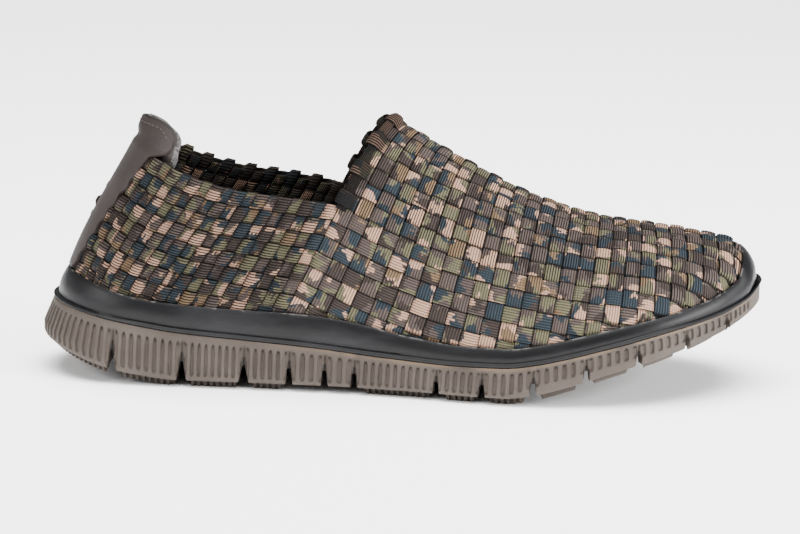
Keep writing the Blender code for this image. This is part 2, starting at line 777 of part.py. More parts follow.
def build():
    """Make every piece of the shoe."""
    clear_scene()
    collection = bpy.data.collections.new("woven_slip_on_sneaker")
    bpy.context.scene.collection.children.link(collection)
    weave = plain_material("woven_straps", (0.16, 0.14, 0.11), 0.9)
    foam = plain_material("sole_foam", (0.20, 0.17, 0.15), 0.8)
    band = plain_material("rand_black", (0.02, 0.02, 0.022), 0.45)
    leather = plain_material("heel_leather", (0.10, 0.08, 0.07), 0.7)
    cloth = plain_material("insole_cloth", (0.05, 0.05, 0.05), 0.95)

    sheet = woven_sheet()
    upper_tree = BVHTree.FromBMesh(sheet)
    sheet.free()
    build_sole(collection, foam)
    build_insole(collection, cloth)
    rand = build_rand(collection, band, upper_tree)
    strip = heel_piece("heel_strip", STRIP_ROWS, STRIP_CLEAR + STRIP_THICK, collection, leather)
    heel_piece("tab_lining", LINING_ROWS, -(WALL + STRIP_CLEAR), collection, leather)
    build_upper(collection, weave, (rand, strip))


build()
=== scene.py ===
"""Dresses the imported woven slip-on sneaker.

The straps of the upper are woven as real bands over the shape of the last. The sole, the band
round its edge and the heel leather are made again with their fine form, and the studio is set.
"""
import logging
import math
from dataclasses import dataclass
from enum import Enum, IntEnum
from typing import Any, Callable, NamedTuple, Sequence

import bpy
import numpy as np
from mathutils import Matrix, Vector
from mathutils.bvhtree import BVHTree


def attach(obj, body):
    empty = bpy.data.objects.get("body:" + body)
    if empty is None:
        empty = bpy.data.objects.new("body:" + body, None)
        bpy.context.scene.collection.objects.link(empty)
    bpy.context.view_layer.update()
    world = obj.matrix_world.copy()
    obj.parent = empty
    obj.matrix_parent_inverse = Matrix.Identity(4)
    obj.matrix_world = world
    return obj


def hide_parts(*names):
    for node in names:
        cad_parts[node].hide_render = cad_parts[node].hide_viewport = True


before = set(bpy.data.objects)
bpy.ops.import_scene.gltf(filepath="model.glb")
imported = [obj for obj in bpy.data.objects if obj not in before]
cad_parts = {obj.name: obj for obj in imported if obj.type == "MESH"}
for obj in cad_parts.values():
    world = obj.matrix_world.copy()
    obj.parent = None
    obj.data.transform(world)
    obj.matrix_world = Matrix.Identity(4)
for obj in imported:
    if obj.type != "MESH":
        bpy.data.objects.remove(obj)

LOG = logging.getLogger("sneaker")
Array = np.ndarray
Values = Array | float
Pair = tuple[float, float]
Triple = tuple[float, float, float]
Colour = tuple[float, float, float]
Piece = bpy.types.Object
Material = bpy.types.Material
BODY = "root"


class Side(IntEnum):
    """The two long sides of the shoe, as the sign of Y."""

    OUTER = -1
    INNER = 1


class Run(Enum):
    """The way a strap lies on the upper."""

    OVER_FOOT = 0
    ALONG_FOOT = 1


class SolePlan(NamedTuple):
    """Middle line and half width of the sole at a place along it."""

    x: float
    centre: float
    half_width: float


class SoleProfile(NamedTuple):
    """Underside, top and swell of the sole at a place along it."""

    x: float
    floor: float
    top: float
    flare: float


class SoleBlock(NamedTuple):
    """A tread block: the flex groove at its front, its ribs, and whether it has a pad."""

    groove_x: float
    ribs: int
    padded: bool


class VampSection(NamedTuple):
    """A section over the forefoot, from its ridge to its foot."""

    mid: float
    lean: float
    ridge_y: float
    ridge_z: float
    sweep: float
    rise: float
    crown: float
    bulge: float


class CollarPlan(NamedTuple):
    """Half width and height of the collar at a place along it."""

    x: float
    half_width: float
    height: float


class BandTop(NamedTuple):
    """Height of the black band's upper edge at a place along the shoe."""

    x: float
    top: float


class StripRow(NamedTuple):
    """Reach of the heel leather to each side at a height above the foot of the upper."""

    up: float
    outer: float
    inner: float


class StrapZone(NamedTuple):
    """How the straps of one way lie in the three zones: quarter, upper vamp, lower vamp."""

    width: Triple
    lift: Triple
    wave: Triple
    ribs: Triple
    weft: Triple
    puff: Triple


def table(kind: type, rows: Sequence[tuple[Any, ...]]) -> tuple[Any, ...]:
    """Give each row of a table its named columns."""
    return tuple(kind(*row) for row in rows)


SOLE_PLAN = table(SolePlan, (
    (-0.1455, 0.0000, 0.0355),
    (-0.1100, -0.0005, 0.0355),
    (-0.0870, -0.0015, 0.0356),
    (-0.0580, -0.0025, 0.0355),
    (-0.0290, -0.0035, 0.0358),
    (0.0000, -0.0045, 0.0385),
    (0.0290, -0.0040, 0.0450),
    (0.0520, -0.0025, 0.0495),
    (0.0730, -0.0005, 0.0512),
    (0.1020, 0.0020, 0.0520),
    (0.1250, 0.0048, 0.0510),
    (0.1455, 0.0080, 0.0500),
))
SOLE_PROFILE = table(SoleProfile, (
    (-0.1455, 0.0112, 0.0298, 0.0045),
    (-0.1330, 0.0078, 0.0282, 0.0041),
    (-0.1200, 0.0044, 0.0262, 0.0036),
    (-0.1050, 0.0016, 0.0238, 0.0032),
    (-0.0890, 0.0000, 0.0217, 0.0028),
    (-0.0590, 0.0000, 0.0196, 0.0024),
    (-0.0370, 0.0000, 0.0181, 0.0022),
    (-0.0080, 0.0000, 0.0156, 0.0022),
    (0.0200, 0.0000, 0.0143, 0.0022),
    (0.0420, 0.0000, 0.0147, 0.0021),
    (0.0550, 0.0018, 0.0165, 0.0020),
    (0.0680, 0.0054, 0.0195, 0.0018),
    (0.0870, 0.0115, 0.0244, 0.0014),
    (0.1060, 0.0168, 0.0291, 0.0010),
    (0.1270, 0.0230, 0.0336, 0.0006),
    (0.1400, 0.0282, 0.0374, 0.0003),
    (0.1455, 0.0308, 0.0410, 0.0000),
))
SOLE_BLOCKS = table(SoleBlock, (
    (-0.1145, 16, True),
    (-0.0862, 9, True),
    (-0.0612, 9, True),
    (-0.0430, 6, True),
    (-0.0288, 4, False),
    (-0.0170, 3, False),
    (0.0157, 11, True),
    (0.0340, 6, True),
    (0.0545, 6, True),
    (0.0755, 6, True),
    (0.0962, 6, True),
    (0.1155, 6, True),
    (0.1318, 6, True),
))
VAMP_SECTIONS = table(VampSection, (
    (-0.0278, 0.0485, -0.0020, 0.1050, 0.0110, 0.50, 0.61, 0.0054),
    (0.0070, 0.0290, -0.0005, 0.0902, 0.0060, 0.50, 0.60, 0.0040),
    (0.0480, 0.0130, 0.0010, 0.0736, 0.0030, 0.52, 0.60, 0.0026),
    (0.0770, 0.0060, 0.0025, 0.0655, 0.0000, 0.54, 0.60, 0.0018),
    (0.0980, 0.0000, 0.0040, 0.0627, -0.0010, 0.57, 0.61, 0.0014),
    (0.1140, -0.0030, 0.0055, 0.0606, -0.0015, 0.60, 0.63, 0.0012),
    (0.1300, -0.0030, 0.0070, 0.0579, -0.0010, 0.60, 0.65, 0.0008),
    (0.1413, 0.0000, 0.0080, 0.0565, 0.0000, 0.60, 0.65, 0.0000),
))
COLLAR_PLAN = table(CollarPlan, (
    (-0.1078, 0.0225, 0.0932),
    (-0.0990, 0.0228, 0.0905),
    (-0.0900, 0.0234, 0.0862),
    (-0.0810, 0.0245, 0.0828),
    (-0.0650, 0.0260, 0.0792),
    (-0.0490, 0.0262, 0.0776),
    (-0.0270, 0.0255, 0.0753),
))
BAND_TOP = table(BandTop, (
    (-0.1368, 0.0410),
    (-0.1310, 0.0404),
    (-0.1230, 0.0384),
    (-0.1110, 0.0354),
    (-0.0970, 0.0331),
    (-0.0730, 0.0316),
    (-0.0370, 0.0304),
    (-0.0150, 0.0276),
    (0.0060, 0.0236),
    (0.0270, 0.0216),
    (0.0440, 0.0217),
    (0.0570, 0.0238),
    (0.0750, 0.0282),
    (0.0920, 0.0323),
    (0.1100, 0.0361),
    (0.1270, 0.0410),
    (0.1340, 0.0446),
    (0.1380, 0.0510),
    (0.1413, 0.0553),
))
STRIP_ROWS = table(StripRow, (
    (0.0132, 0.0125, 0.0085),
    (0.0230, 0.0160, 0.0068),
    (0.0310, 0.0175, 0.0038),
    (0.0400, 0.0188, 0.0022),
    (0.0500, 0.0204, 0.0034),
    (0.0600, 0.0220, 0.0100),
    (0.0690, 0.0232, 0.0200),
    (0.0706, 0.0254, 0.0243),
    (0.0722, 0.0280, 0.0262),
    (0.0752, 0.0300, 0.0250),
    (0.0778, 0.0295, 0.0210),
    (0.0802, 0.0270, 0.0158),
    (0.0818, 0.0222, 0.0100),
    (0.0826, 0.0140, 0.0045),
))
LINING_ROWS = table(StripRow, (
    (0.0570, 0.0200, 0.0200),
    (0.0620, 0.0300, 0.0300),
    (0.0670, 0.0345, 0.0330),
    (0.0722, 0.0346, 0.0300),
    (0.0752, 0.0332, 0.0270),
    (0.0778, 0.0326, 0.0230),
    (0.0802, 0.0300, 0.0178),
    (0.0822, 0.0248, 0.0116),
    (0.0835, 0.0156, 0.0054),
))


def smooth(value: Array, low: float, high: float) -> Array:
    """Step softly from 0 to 1 while a value goes from low to high."""
    t = np.clip((np.asarray(value, float) - low) / (high - low), 0.0, 1.0)
    return t * t * (3.0 - 2.0 * t)


def unit(vectors: Array) -> Array:
    """Give vectors a length of one."""
    return vectors / np.maximum(np.linalg.norm(vectors, axis=-1, keepdims=True), 1e-12)


def path_lengths(points: Array) -> Array:
    """Distances along a line of points, from its start."""
    steps = np.linalg.norm(np.diff(points, axis=0), axis=1)
    return np.concatenate([[0.0], np.cumsum(steps)])


class Curve:
    """A smooth line through table rows that never overshoots them."""

    def __init__(self, keys: Sequence[float], values: Sequence[float]) -> None:
        """Work out the slopes at the rows.

        Args:
            keys: Where the rows stand.
            values: What the rows hold.
        """
        self.keys = np.asarray(keys, float)
        self.values = np.asarray(values, float)
        slopes = np.diff(self.values) / np.diff(self.keys)
        before, after = slopes[:-1], slopes[1:]
        total = np.where(before + after == 0.0, 1.0, before + after)
        inner = np.where(before * after > 0.0, 2.0 * before * after / total, 0.0)
        self.slopes = np.concatenate([slopes[:1], inner, slopes[-1:]])

    def __call__(self, at: Array) -> Array:
        """Read the line.

        Args:
            at: Places between the rows.

        Returns:
            The values there.
        """
        at = np.clip(np.asarray(at, float), self.keys[0], self.keys[-1])
        n = np.clip(np.searchsorted(self.keys, at, side="right") - 1, 0, len(self.keys) - 2)
        span = self.keys[n + 1] - self.keys[n]
        t = (at - self.keys[n]) / span
        start = (1.0 + 2.0 * t) * (1.0 - t) ** 2 * self.values[n]
        leave = t * (1.0 - t) ** 2 * span * self.slopes[n]
        end = t * t * (3.0 - 2.0 * t) * self.values[n + 1]
        arrive = t * t * (t - 1.0) * span * self.slopes[n + 1]
        return start + leave + end + arrive


def columns_of(rows: Sequence[Any]) -> dict[str, Curve]:
    """Turn a table into one curve for each of its columns, over its first column."""
    keys, *columns = zip(*rows)
    return {name: Curve(keys, column) for name, column in zip(rows[0]._fields[1:], columns)}


def bezier(controls: Array, t: Array) -> Array:
    """Points of sections given by four shaping points each.

    Args:
        controls: Shaping points, (..., 4, 3).
        t: Shares of the run, (m,).

    Returns:
        Points, (..., m, 3).
    """
    s = 1.0 - t
    weights = np.stack([s ** 3, 3 * s * s * t, 3 * s * t * t, t ** 3], axis=-1)
    return np.einsum("mk,...kd->...md", weights, controls)


@dataclass
class Last:
    """The form that the shoe is made on: plan and profile of the sole, sections of the upper."""

    back_x: float = -0.1455
    tip_x: float = 0.1455
    heel_round_x: float = -0.108
    heel_round_power: float = 2.0
    toe_round_x: float = 0.060
    toe_round_power: float = 2.3
    foot_inset: float = 0.0042
    seat_gap: float = 0.0003
    quarter_columns: int = 20
    vamp_columns: int = 26
    row_pitch: float = 0.0067
    collar_row: int = 7
    quarter_foot_x: float = -0.0520
    collar_round_x: float = -0.0880
    toe_fall_x: float = 0.1300
    toe_fall_power: float = 3.0
    shoulder_drop: float = 0.30
    shoulder_out: float = 0.29
    side_drop: float = 0.66
    side_out: float = 0.82
    quarter_bulge: float = 0.0014
    throat_fade: int = 3
    heel_column_width: float = 0.0055
    outline_steps: int = 600
    collar_steps: int = 200
    throat_points: int = 65
    probe: float = 0.00002

    def __post_init__(self) -> None:
        """Read the tables and centre the plan."""
        self.plan = columns_of(SOLE_PLAN)
        self.profile = columns_of(SOLE_PROFILE)
        self.vamp_rows = columns_of(VAMP_SECTIONS)
        self.collar_rows = columns_of(COLLAR_PLAN)
        self.band_top = columns_of(BAND_TOP)["top"]
        steps = np.arange(self.outline_steps + 1) / self.outline_steps
        self.fine_x = -self.tip_x * np.cos(math.pi * steps)
        low = self.plan_y(self.fine_x, Side.OUTER).min()
        self.shift = -(low + self.plan_y(self.fine_x, Side.INNER).max()) / 2.0

    @staticmethod
    def round_off(at: Array, start: float, end: float, power: float) -> Array:
        """Share of a width that is left where a plan rounds off between start and end."""
        u = np.clip((np.asarray(at, float) - start) / (end - start), 0.0, None)
        return np.sqrt(np.clip(1.0 - u ** power, 0.0, None))

    def plan_y(self, x: Array, side: int) -> Array:
        """Widest outline of the sole before it is centred.

        Args:
            x: Places along the sole.
            side: Which long side.

        Returns:
            Y of the outline.
        """
        width = self.plan["half_width"](x)
        width = width * self.round_off(x, self.heel_round_x, self.back_x, self.heel_round_power)
        width = width * self.round_off(x, self.toe_round_x, self.tip_x, self.toe_round_power)
        return self.plan["centre"](x) + side * width

    def outline_lengths(self, x: Array, side: int) -> Array:
        """Distances along the outline of one side."""
        return path_lengths(np.stack([x, self.plan_y(x, side)], axis=-1))

    def edge(self, x: Array, side: int, inset: Values) -> tuple[Array, Array]:
        """Outline of the sole, drawn in at right angles to it.

        Args:
            x: Places along the sole.
            side: Which long side.
            inset: How far the line is drawn in.

        Returns:
            Points with no height, and the outward directions.
        """
        x = np.asarray(x, float)
        low = np.maximum(self.back_x, x - self.probe)
        high = np.minimum(self.tip_x, x + self.probe)
        rise = self.plan_y(high, side) - self.plan_y(low, side)
        outward = np.stack([-rise * side, (high - low) * side, 0.0 * x], axis=-1)
        ends = (x <= self.back_x) | (x >= self.tip_x)
        straight = np.stack([np.sign(x), 0.0 * x, 0.0 * x], axis=-1)
        outward = unit(np.where(ends[..., None], straight, outward))
        points = np.stack([x, self.plan_y(x, side) + self.shift, 0.0 * x], axis=-1)
        return points - outward * np.asarray(inset, float)[..., None], outward

    def foot(self, x: Array, side: int) -> tuple[Array, Array]:
        """Where the upper's outer face meets the sole, and the outward directions there.

        Args:
            x: Places along the sole.
            side: Which long side.

        Returns:
            Points and directions.
        """
        points, outward = self.edge(x, side, self.profile["flare"](x) + self.foot_inset)
        points[..., 2] = self.profile["top"](points[..., 0]) + self.seat_gap
        return points, outward

    def heel_x(self, share: Array, side: int) -> Array:
        """Places along the sole at shares of the way from the heel to the quarter's end.

        Args:
            share: Shares of the way.
            side: Which long side.

        Returns:
            X of the places.
        """
        places = self.fine_x[self.fine_x <= self.quarter_foot_x]
        lengths = self.outline_lengths(places, side)
        return np.interp(share * lengths[-1], lengths, places)

    def collar(self, share: Array, side: int) -> Array:
        """Points of the collar's edge at shares of the way from the heel to the throat.

        Args:
            share: Shares of the way.
            side: Which long side.

        Returns:
            Points, (n, 3).
        """
        back, front = COLLAR_PLAN[0].x, COLLAR_PLAN[-1].x
        steps = np.arange(self.collar_steps + 1) / self.collar_steps
        x = back + (front - back) * steps ** 2
        width = self.collar_rows["half_width"](x)
        width = width * self.round_off(x, self.collar_round_x, back, self.heel_round_power)
        points = np.stack([x, side * width, self.collar_rows["height"](x)], axis=-1)
        lengths = path_lengths(points)
        at = share * lengths[-1]
        return np.stack([np.interp(at, lengths, points[:, k]) for k in range(3)], axis=-1)

    def vamp(self, mid: Array, side: int) -> Array:
        """Shaping points of sections over the forefoot.

        Args:
            mid: Places of the sections' middles.
            side: Which long side.

        Returns:
            Shaping points, (n, 4, 3).
        """
        tip = VAMP_SECTIONS[-1].mid
        row = {name: curve(mid) for name, curve in self.vamp_rows.items()}
        at_tip = mid >= tip
        foot, _ = self.foot(np.where(at_tip, self.tip_x, mid - row["lean"] / 2), side)
        fall = self.round_off(mid, self.toe_fall_x, tip, self.toe_fall_power)
        height = foot[:, 2] + (row["ridge_z"] - foot[:, 2]) * fall
        ridge_x = np.minimum(mid + row["lean"] / 2, tip)
        ridge = np.stack([ridge_x, row["ridge_y"] + self.shift, height], axis=-1)
        ridge = np.where(at_tip[:, None], foot, ridge)
        shoulder = ridge.copy()
        shoulder[:, 0] -= row["sweep"]
        shoulder[:, 1] += row["crown"] * (foot[:, 1] - ridge[:, 1])
        flank = foot + (ridge - foot) * row["rise"][:, None]
        flank[:, 1] = foot[:, 1] + side * row["bulge"] * fall
        return np.stack([ridge, shoulder, flank, foot], axis=1)

    def plain_quarter(self, share: Array, side: int, top: Array) -> Array:
        """Shaping points of sections beside the heel, before they are drawn to the throat.

        Args:
            share: Shares of the way to the throat.
            side: Which long side.
            top: Upper ends of the sections.

        Returns:
            Shaping points, (n, 4, 3).
        """
        foot, outward = self.foot(self.heel_x(share, side), side)
        swell = outward * self.quarter_bulge
        shoulder = top + (foot - top) * self.shoulder_out + swell
        shoulder[:, 2] = top[:, 2] + (foot[:, 2] - top[:, 2]) * self.shoulder_drop
        flank = top + (foot - top) * self.side_out + swell
        flank[:, 2] = top[:, 2] + (foot[:, 2] - top[:, 2]) * self.side_drop
        return np.stack([top, shoulder, flank, foot], axis=1)

    def throat(self, side: int) -> Array:
        """Shaping points of the throat's section below the corner of the collar.

        Args:
            side: Which long side.

        Returns:
            Shaping points, (4, 3).
        """
        a, b, c, d = self.vamp(np.array([VAMP_SECTIONS[0].mid]), side)[0]
        runs = np.linspace(0.0, 1.0, self.throat_points)
        lengths = path_lengths(bezier(np.stack([a, b, c, d]), runs))
        t = np.interp(self.collar_row * self.row_pitch, lengths, runs)
        ab, bc, cd = a + (b - a) * t, b + (c - b) * t, c + (d - c) * t
        abc, bcd = ab + (bc - ab) * t, bc + (cd - bc) * t
        return np.stack([abc + (bcd - abc) * t, bcd, cd, d])

    def quarter(self, share: Array, side: int) -> Array:
        """Shaping points of sections beside the heel, from the collar to the foot.

        Args:
            share: Shares of the way to the throat.
            side: Which long side.

        Returns:
            Shaping points, (n, 4, 3).
        """
        throat = self.throat(side)
        fade = share ** self.throat_fade
        one = np.ones(1)
        drawn = throat[0] - self.collar(one, side)[0]
        plain = self.plain_quarter(share, side, self.collar(share, side) + drawn * fade[:, None])
        front = self.plain_quarter(one, side, throat[None, 0])[0]
        return plain + (throat - front) * fade[:, None, None]

    def sections(self, column: Array, side: int) -> Array:
        """Shaping points of any sections, by column from the heel to the toe.

        Args:
            column: Columns of the chart.
            side: Which long side.

        Returns:
            Shaping points, (n, 4, 3).
        """
        first = VAMP_SECTIONS[0].mid
        share = (column - self.quarter_columns) / self.vamp_columns
        mid = first + (VAMP_SECTIONS[-1].mid - first) * np.clip(share, 0.0, 1.0)
        beside = self.quarter(np.clip(column / self.quarter_columns, 0.0, 1.0), side)
        return np.where((column < self.quarter_columns)[:, None, None], beside, self.vamp(mid, side))


class Weave:
    """The upper's face as a chart: columns from heel to toe, rows from the ridge to the foot."""

    COLUMN_STEP = 0.1
    ROW_STEP = 0.08
    LAST_ROW = 21.0
    RUN_POINTS = 97
    TREE_COLUMNS = 2
    TREE_ROWS = 4
    SLACK = 1e-6
    NUDGE = 1e-9
    MARGIN = 1.001

    def __init__(self, last: Last) -> None:
        """Chart both sides.

        Args:
            last: The form of the shoe.
        """
        self.last = last
        end = last.quarter_columns + last.vamp_columns
        self.columns = np.arange(round(end / self.COLUMN_STEP) + 1) * self.COLUMN_STEP
        self.rows = np.arange(round(self.LAST_ROW / self.ROW_STEP) + 1) * self.ROW_STEP
        self.place: dict[int, Array] = {}
        self.out: dict[int, Array] = {}
        self.up: dict[int, Array] = {}
        self.reach: dict[int, Array] = {}
        for side in Side:
            self.chart(int(side))

    def chart(self, side: int) -> None:
        """Work out places and directions of one side.

        Args:
            side: Which long side.
        """
        beside = self.columns < self.last.quarter_columns - self.SLACK
        first = np.where(beside, self.last.collar_row, 0)
        ahead = self.columns + self.NUDGE
        sections = self.last.sections(np.where(beside, self.columns, ahead), side)
        runs = np.linspace(0.0, 1.0, self.RUN_POINTS)
        lines = bezier(sections, runs)
        steps = np.linalg.norm(np.diff(lines, axis=1), axis=2)
        lengths = np.concatenate([np.zeros((len(steps), 1)), np.cumsum(steps, axis=1)], axis=1)
        place = np.empty((len(self.columns), len(self.rows), 3))
        for n, section in enumerate(sections):
            distance = (self.rows - first[n]) * self.last.row_pitch
            place[n] = bezier(section, np.interp(distance, lengths[n], runs))
            above = distance < 0.0
            climb = unit(section[0] - section[1])
            place[n, above] = section[0] - climb * distance[above, None]
        self.place[side] = place
        self.reach[side] = first + lengths[:, -1] / self.last.row_pitch
        along = np.empty_like(place)
        along[beside] = np.gradient(place[beside], axis=0)
        along[~beside] = np.gradient(place[~beside], axis=0)
        down = np.gradient(place, axis=1)
        out = unit(side * np.cross(along, down))
        up = unit(-down)
        for n, reach in enumerate(self.reach[side]):
            end = max(1, int(reach / self.ROW_STEP) - 1)
            out[n, end:] = out[n, end - 1]
            up[n, end:] = up[n, end - 1]
        self.out[side] = out
        self.up[side] = up

    def at(self, side: int, column: Array, row: Array) -> tuple[Array, Array, Array]:
        """Read the chart.

        Args:
            side: Which long side.
            column: Columns, any shape.
            row: Rows, the same shape.

        Returns:
            Places, outward directions and upward directions along the face.
        """
        i = np.clip(column / self.COLUMN_STEP, 0.0, len(self.columns) - self.MARGIN)
        j = np.clip(row / self.ROW_STEP, 0.0, len(self.rows) - self.MARGIN)
        i0, j0 = i.astype(int), j.astype(int)
        a, b = (i - i0)[..., None], (j - j0)[..., None]

        def mixed(chart: Array) -> Array:
            """Blend the four nearest points of a chart."""
            near = chart[i0, j0] * (1 - b) + chart[i0, j0 + 1] * b
            far = chart[i0 + 1, j0] * (1 - b) + chart[i0 + 1, j0 + 1] * b
            return near * (1 - a) + far * a

        return mixed(self.place[side]), unit(mixed(self.out[side])), unit(mixed(self.up[side]))

    def signed(self, column: Array, row: Array, sign: Array) -> tuple[Array, Array, Array]:
        """Read the chart on the side that a sign names, point by point.

        Args:
            column: Columns, any shape.
            row: Rows, the same shape.
            sign: Below 0 on the outer side.

        Returns:
            Places, outward directions and upward directions.
        """
        outer = self.at(Side.OUTER, column, row)
        inner = self.at(Side.INNER, column, row)
        pick = (sign < 0)[..., None]
        return tuple(np.where(pick, a, b) for a, b in zip(outer, inner))

    def reach_at(self, side: int, column: Array) -> Array:
        """Row at which the upper meets the sole."""
        return np.interp(column, self.columns, self.reach[side])

    def foot_row(self, column: Array, sign: Array) -> Array:
        """Row at which the upper meets the sole, on the side that a sign names."""
        outer, inner = (self.reach_at(side, column) for side in Side)
        return np.where(sign < 0, outer, inner)

    def tree(self) -> BVHTree:
        """Search tree over the upper's plain face.

        Returns:
            The tree.
        """
        points: list[Triple] = []
        faces: list[tuple[int, int, int, int]] = []
        open_rows = int(self.last.collar_row / self.ROW_STEP / self.TREE_ROWS) + 1
        throat = self.last.quarter_columns / self.COLUMN_STEP
        for side in Side:
            chart = self.place[int(side)][::self.TREE_COLUMNS, ::self.TREE_ROWS]
            width = chart.shape[1]
            start = len(points)
            points += [tuple(point) for point in chart.reshape(-1, 3)]
            for n in range(chart.shape[0] - 1):
                low = open_rows if n * self.TREE_COLUMNS < throat else 0
                for m in range(low, width - 1):
                    at = start + n * width + m
                    faces.append((at, at + 1, at + width + 1, at + width))
        return BVHTree.FromPolygons(points, faces)


class Sock:
    """A shader socket that takes part in sums."""

    def __init__(self, graph: "Graph", socket: bpy.types.NodeSocket) -> None:
        """Hold a socket and the graph that it is in."""
        self.graph = graph
        self.socket = socket

    def __add__(self, other: Any) -> "Sock":
        """Sum."""
        return self.graph.math("ADD", self, other)

    __radd__ = __add__

    def __sub__(self, other: Any) -> "Sock":
        """Difference."""
        return self.graph.math("SUBTRACT", self, other)

    def __rsub__(self, other: Any) -> "Sock":
        """Difference from a number."""
        return self.graph.math("SUBTRACT", other, self)

    def __mul__(self, other: Any) -> "Sock":
        """Product."""
        return self.graph.math("MULTIPLY", self, other)

    __rmul__ = __mul__

    def __truediv__(self, other: Any) -> "Sock":
        """Quotient."""
        return self.graph.math("DIVIDE", self, other)

    def __rtruediv__(self, other: Any) -> "Sock":
        """Quotient of a number."""
        return self.graph.math("DIVIDE", other, self)

    def fract(self) -> "Sock":
        """Part after the point."""
        return self.graph.math("FRACT", self)

    def size(self) -> "Sock":
        """Absolute value."""
        return self.graph.math("ABSOLUTE", self)

    def step(self, low: float, high: float) -> "Sock":
        """Soft step from 0 to 1 between two values."""
        made = self.graph.node("ShaderNodeMapRange", {"interpolation_type": "SMOOTHSTEP"},
                               {"Value": self, "From Min": low, "From Max": high})
        return Sock(self.graph, made.outputs["Result"])


class Graph:
    """A material's nodes, written as expressions."""

    def __init__(self, name: str) -> None:
        """Start a material with its surface shader.

        Args:
            name: The material's name.
        """
        self.material = bpy.data.materials.new(name)
        self.material.use_nodes = True
        self.tree = self.material.node_tree
        self.shader = self.tree.nodes["Principled BSDF"]

    def node(self, kind: str, settings: dict[str, Any], values: dict[Any, Any]) -> bpy.types.Node:
        """Add a node.

        Args:
            kind: The node's type.
            settings: Its own settings, set first.
            values: Values or sockets for its inputs, by name or number.

        Returns:
            The node.
        """
        made = self.tree.nodes.new(kind)
        for key, value in settings.items():
            setattr(made, key, value)
        for key, value in values.items():
            self.feed(made.inputs[key], value)
        return made

    def feed(self, entry: bpy.types.NodeSocket, value: Any) -> None:
        """Link an input to a socket, or set it.

        Args:
            entry: The input.
            value: A socket, a number, or the three numbers of a colour.
        """
        if isinstance(value, Sock):
            self.tree.links.new(value.socket, entry)
        else:
            entry.default_value = (*value, 1.0) if isinstance(value, tuple) else value

    def math(self, operation: str, a: Any, b: Any = 0.0) -> Sock:
        """One sum on values."""
        made = self.node("ShaderNodeMath", {"operation": operation}, {0: a, 1: b})
        return Sock(self, made.outputs[0])

    def mix(self, share: Any, a: Any, b: Any) -> Sock:
        """Blend two colours, each a socket or three numbers."""
        made = self.node("ShaderNodeMix", {"data_type": "RGBA"}, {0: share, 6: a, 7: b})
        return Sock(self, made.outputs[2])

    def vector(self, x: Any, y: Any, z: Any = 0.0) -> Sock:
        """Three values as one vector."""
        made = self.node("ShaderNodeCombineXYZ", {}, {0: x, 1: y, 2: z})
        return Sock(self, made.outputs[0])

    def noise(self, vector: Sock, scale: float, detail: float = 2.0, flat: bool = False) -> Sock:
        """Soft noise between 0 and 1."""
        made = self.node("ShaderNodeTexNoise", {"noise_dimensions": "2D" if flat else "3D"},
                         {"Vector": vector, "Scale": scale, "Detail": detail})
        return Sock(self, made.outputs[0])

    def object_place(self) -> Sock:
        """Place on the shoe, in metres."""
        made = self.node("ShaderNodeTexCoord", {}, {})
        return Sock(self, made.outputs["Object"])

    def attribute(self, name: str) -> Sock:
        """One number stored on the points of a piece."""
        made = self.node("ShaderNodeAttribute", {"attribute_name": name}, {})
        return Sock(self, made.outputs["Fac"])

    def parts(self, vector: Sock, colour: bool = False) -> tuple[Sock, Sock, Sock]:
        """The three values of a vector, or of a colour."""
        made = self.node("ShaderNodeSeparate" + ("Color" if colour else "XYZ"), {}, {0: vector})
        return tuple(Sock(self, made.outputs[n]) for n in range(3))

    def finish(self, colour: Any, rough: Any, height: Sock | None = None, depth: float = 0.0003,
               strength: float = 1.0, **constants: float) -> Material:
        """Feed the surface shader.

        Args:
            colour: Base colour, a socket or three numbers.
            rough: Roughness, a socket or a number.
            height: Relief between 0 and 1, or nothing.
            depth: Real depth of the relief.
            strength: How far the relief shows.
            constants: Other inputs of the shader that are the same all over.

        Returns:
            The material.
        """
        inputs = self.shader.inputs
        self.feed(inputs["Base Color"], colour)
        self.feed(inputs["Roughness"], rough)
        if height is not None:
            values = {"Strength": strength, "Distance": depth, "Height": height}
            bump = self.node("ShaderNodeBump", {}, values)
            self.feed(inputs["Normal"], Sock(self, bump.outputs[0]))
        for key, value in constants.items():
            label = key.replace("_", " ").title().replace("Ior", "IOR")
            inputs[label].default_value = value
        return self.material


class PrintPatch(NamedTuple):
    """One colour of the strap's print: the noise it starts from, and that noise's own place."""

    colour: Colour
    from_noise: float
    offset: float


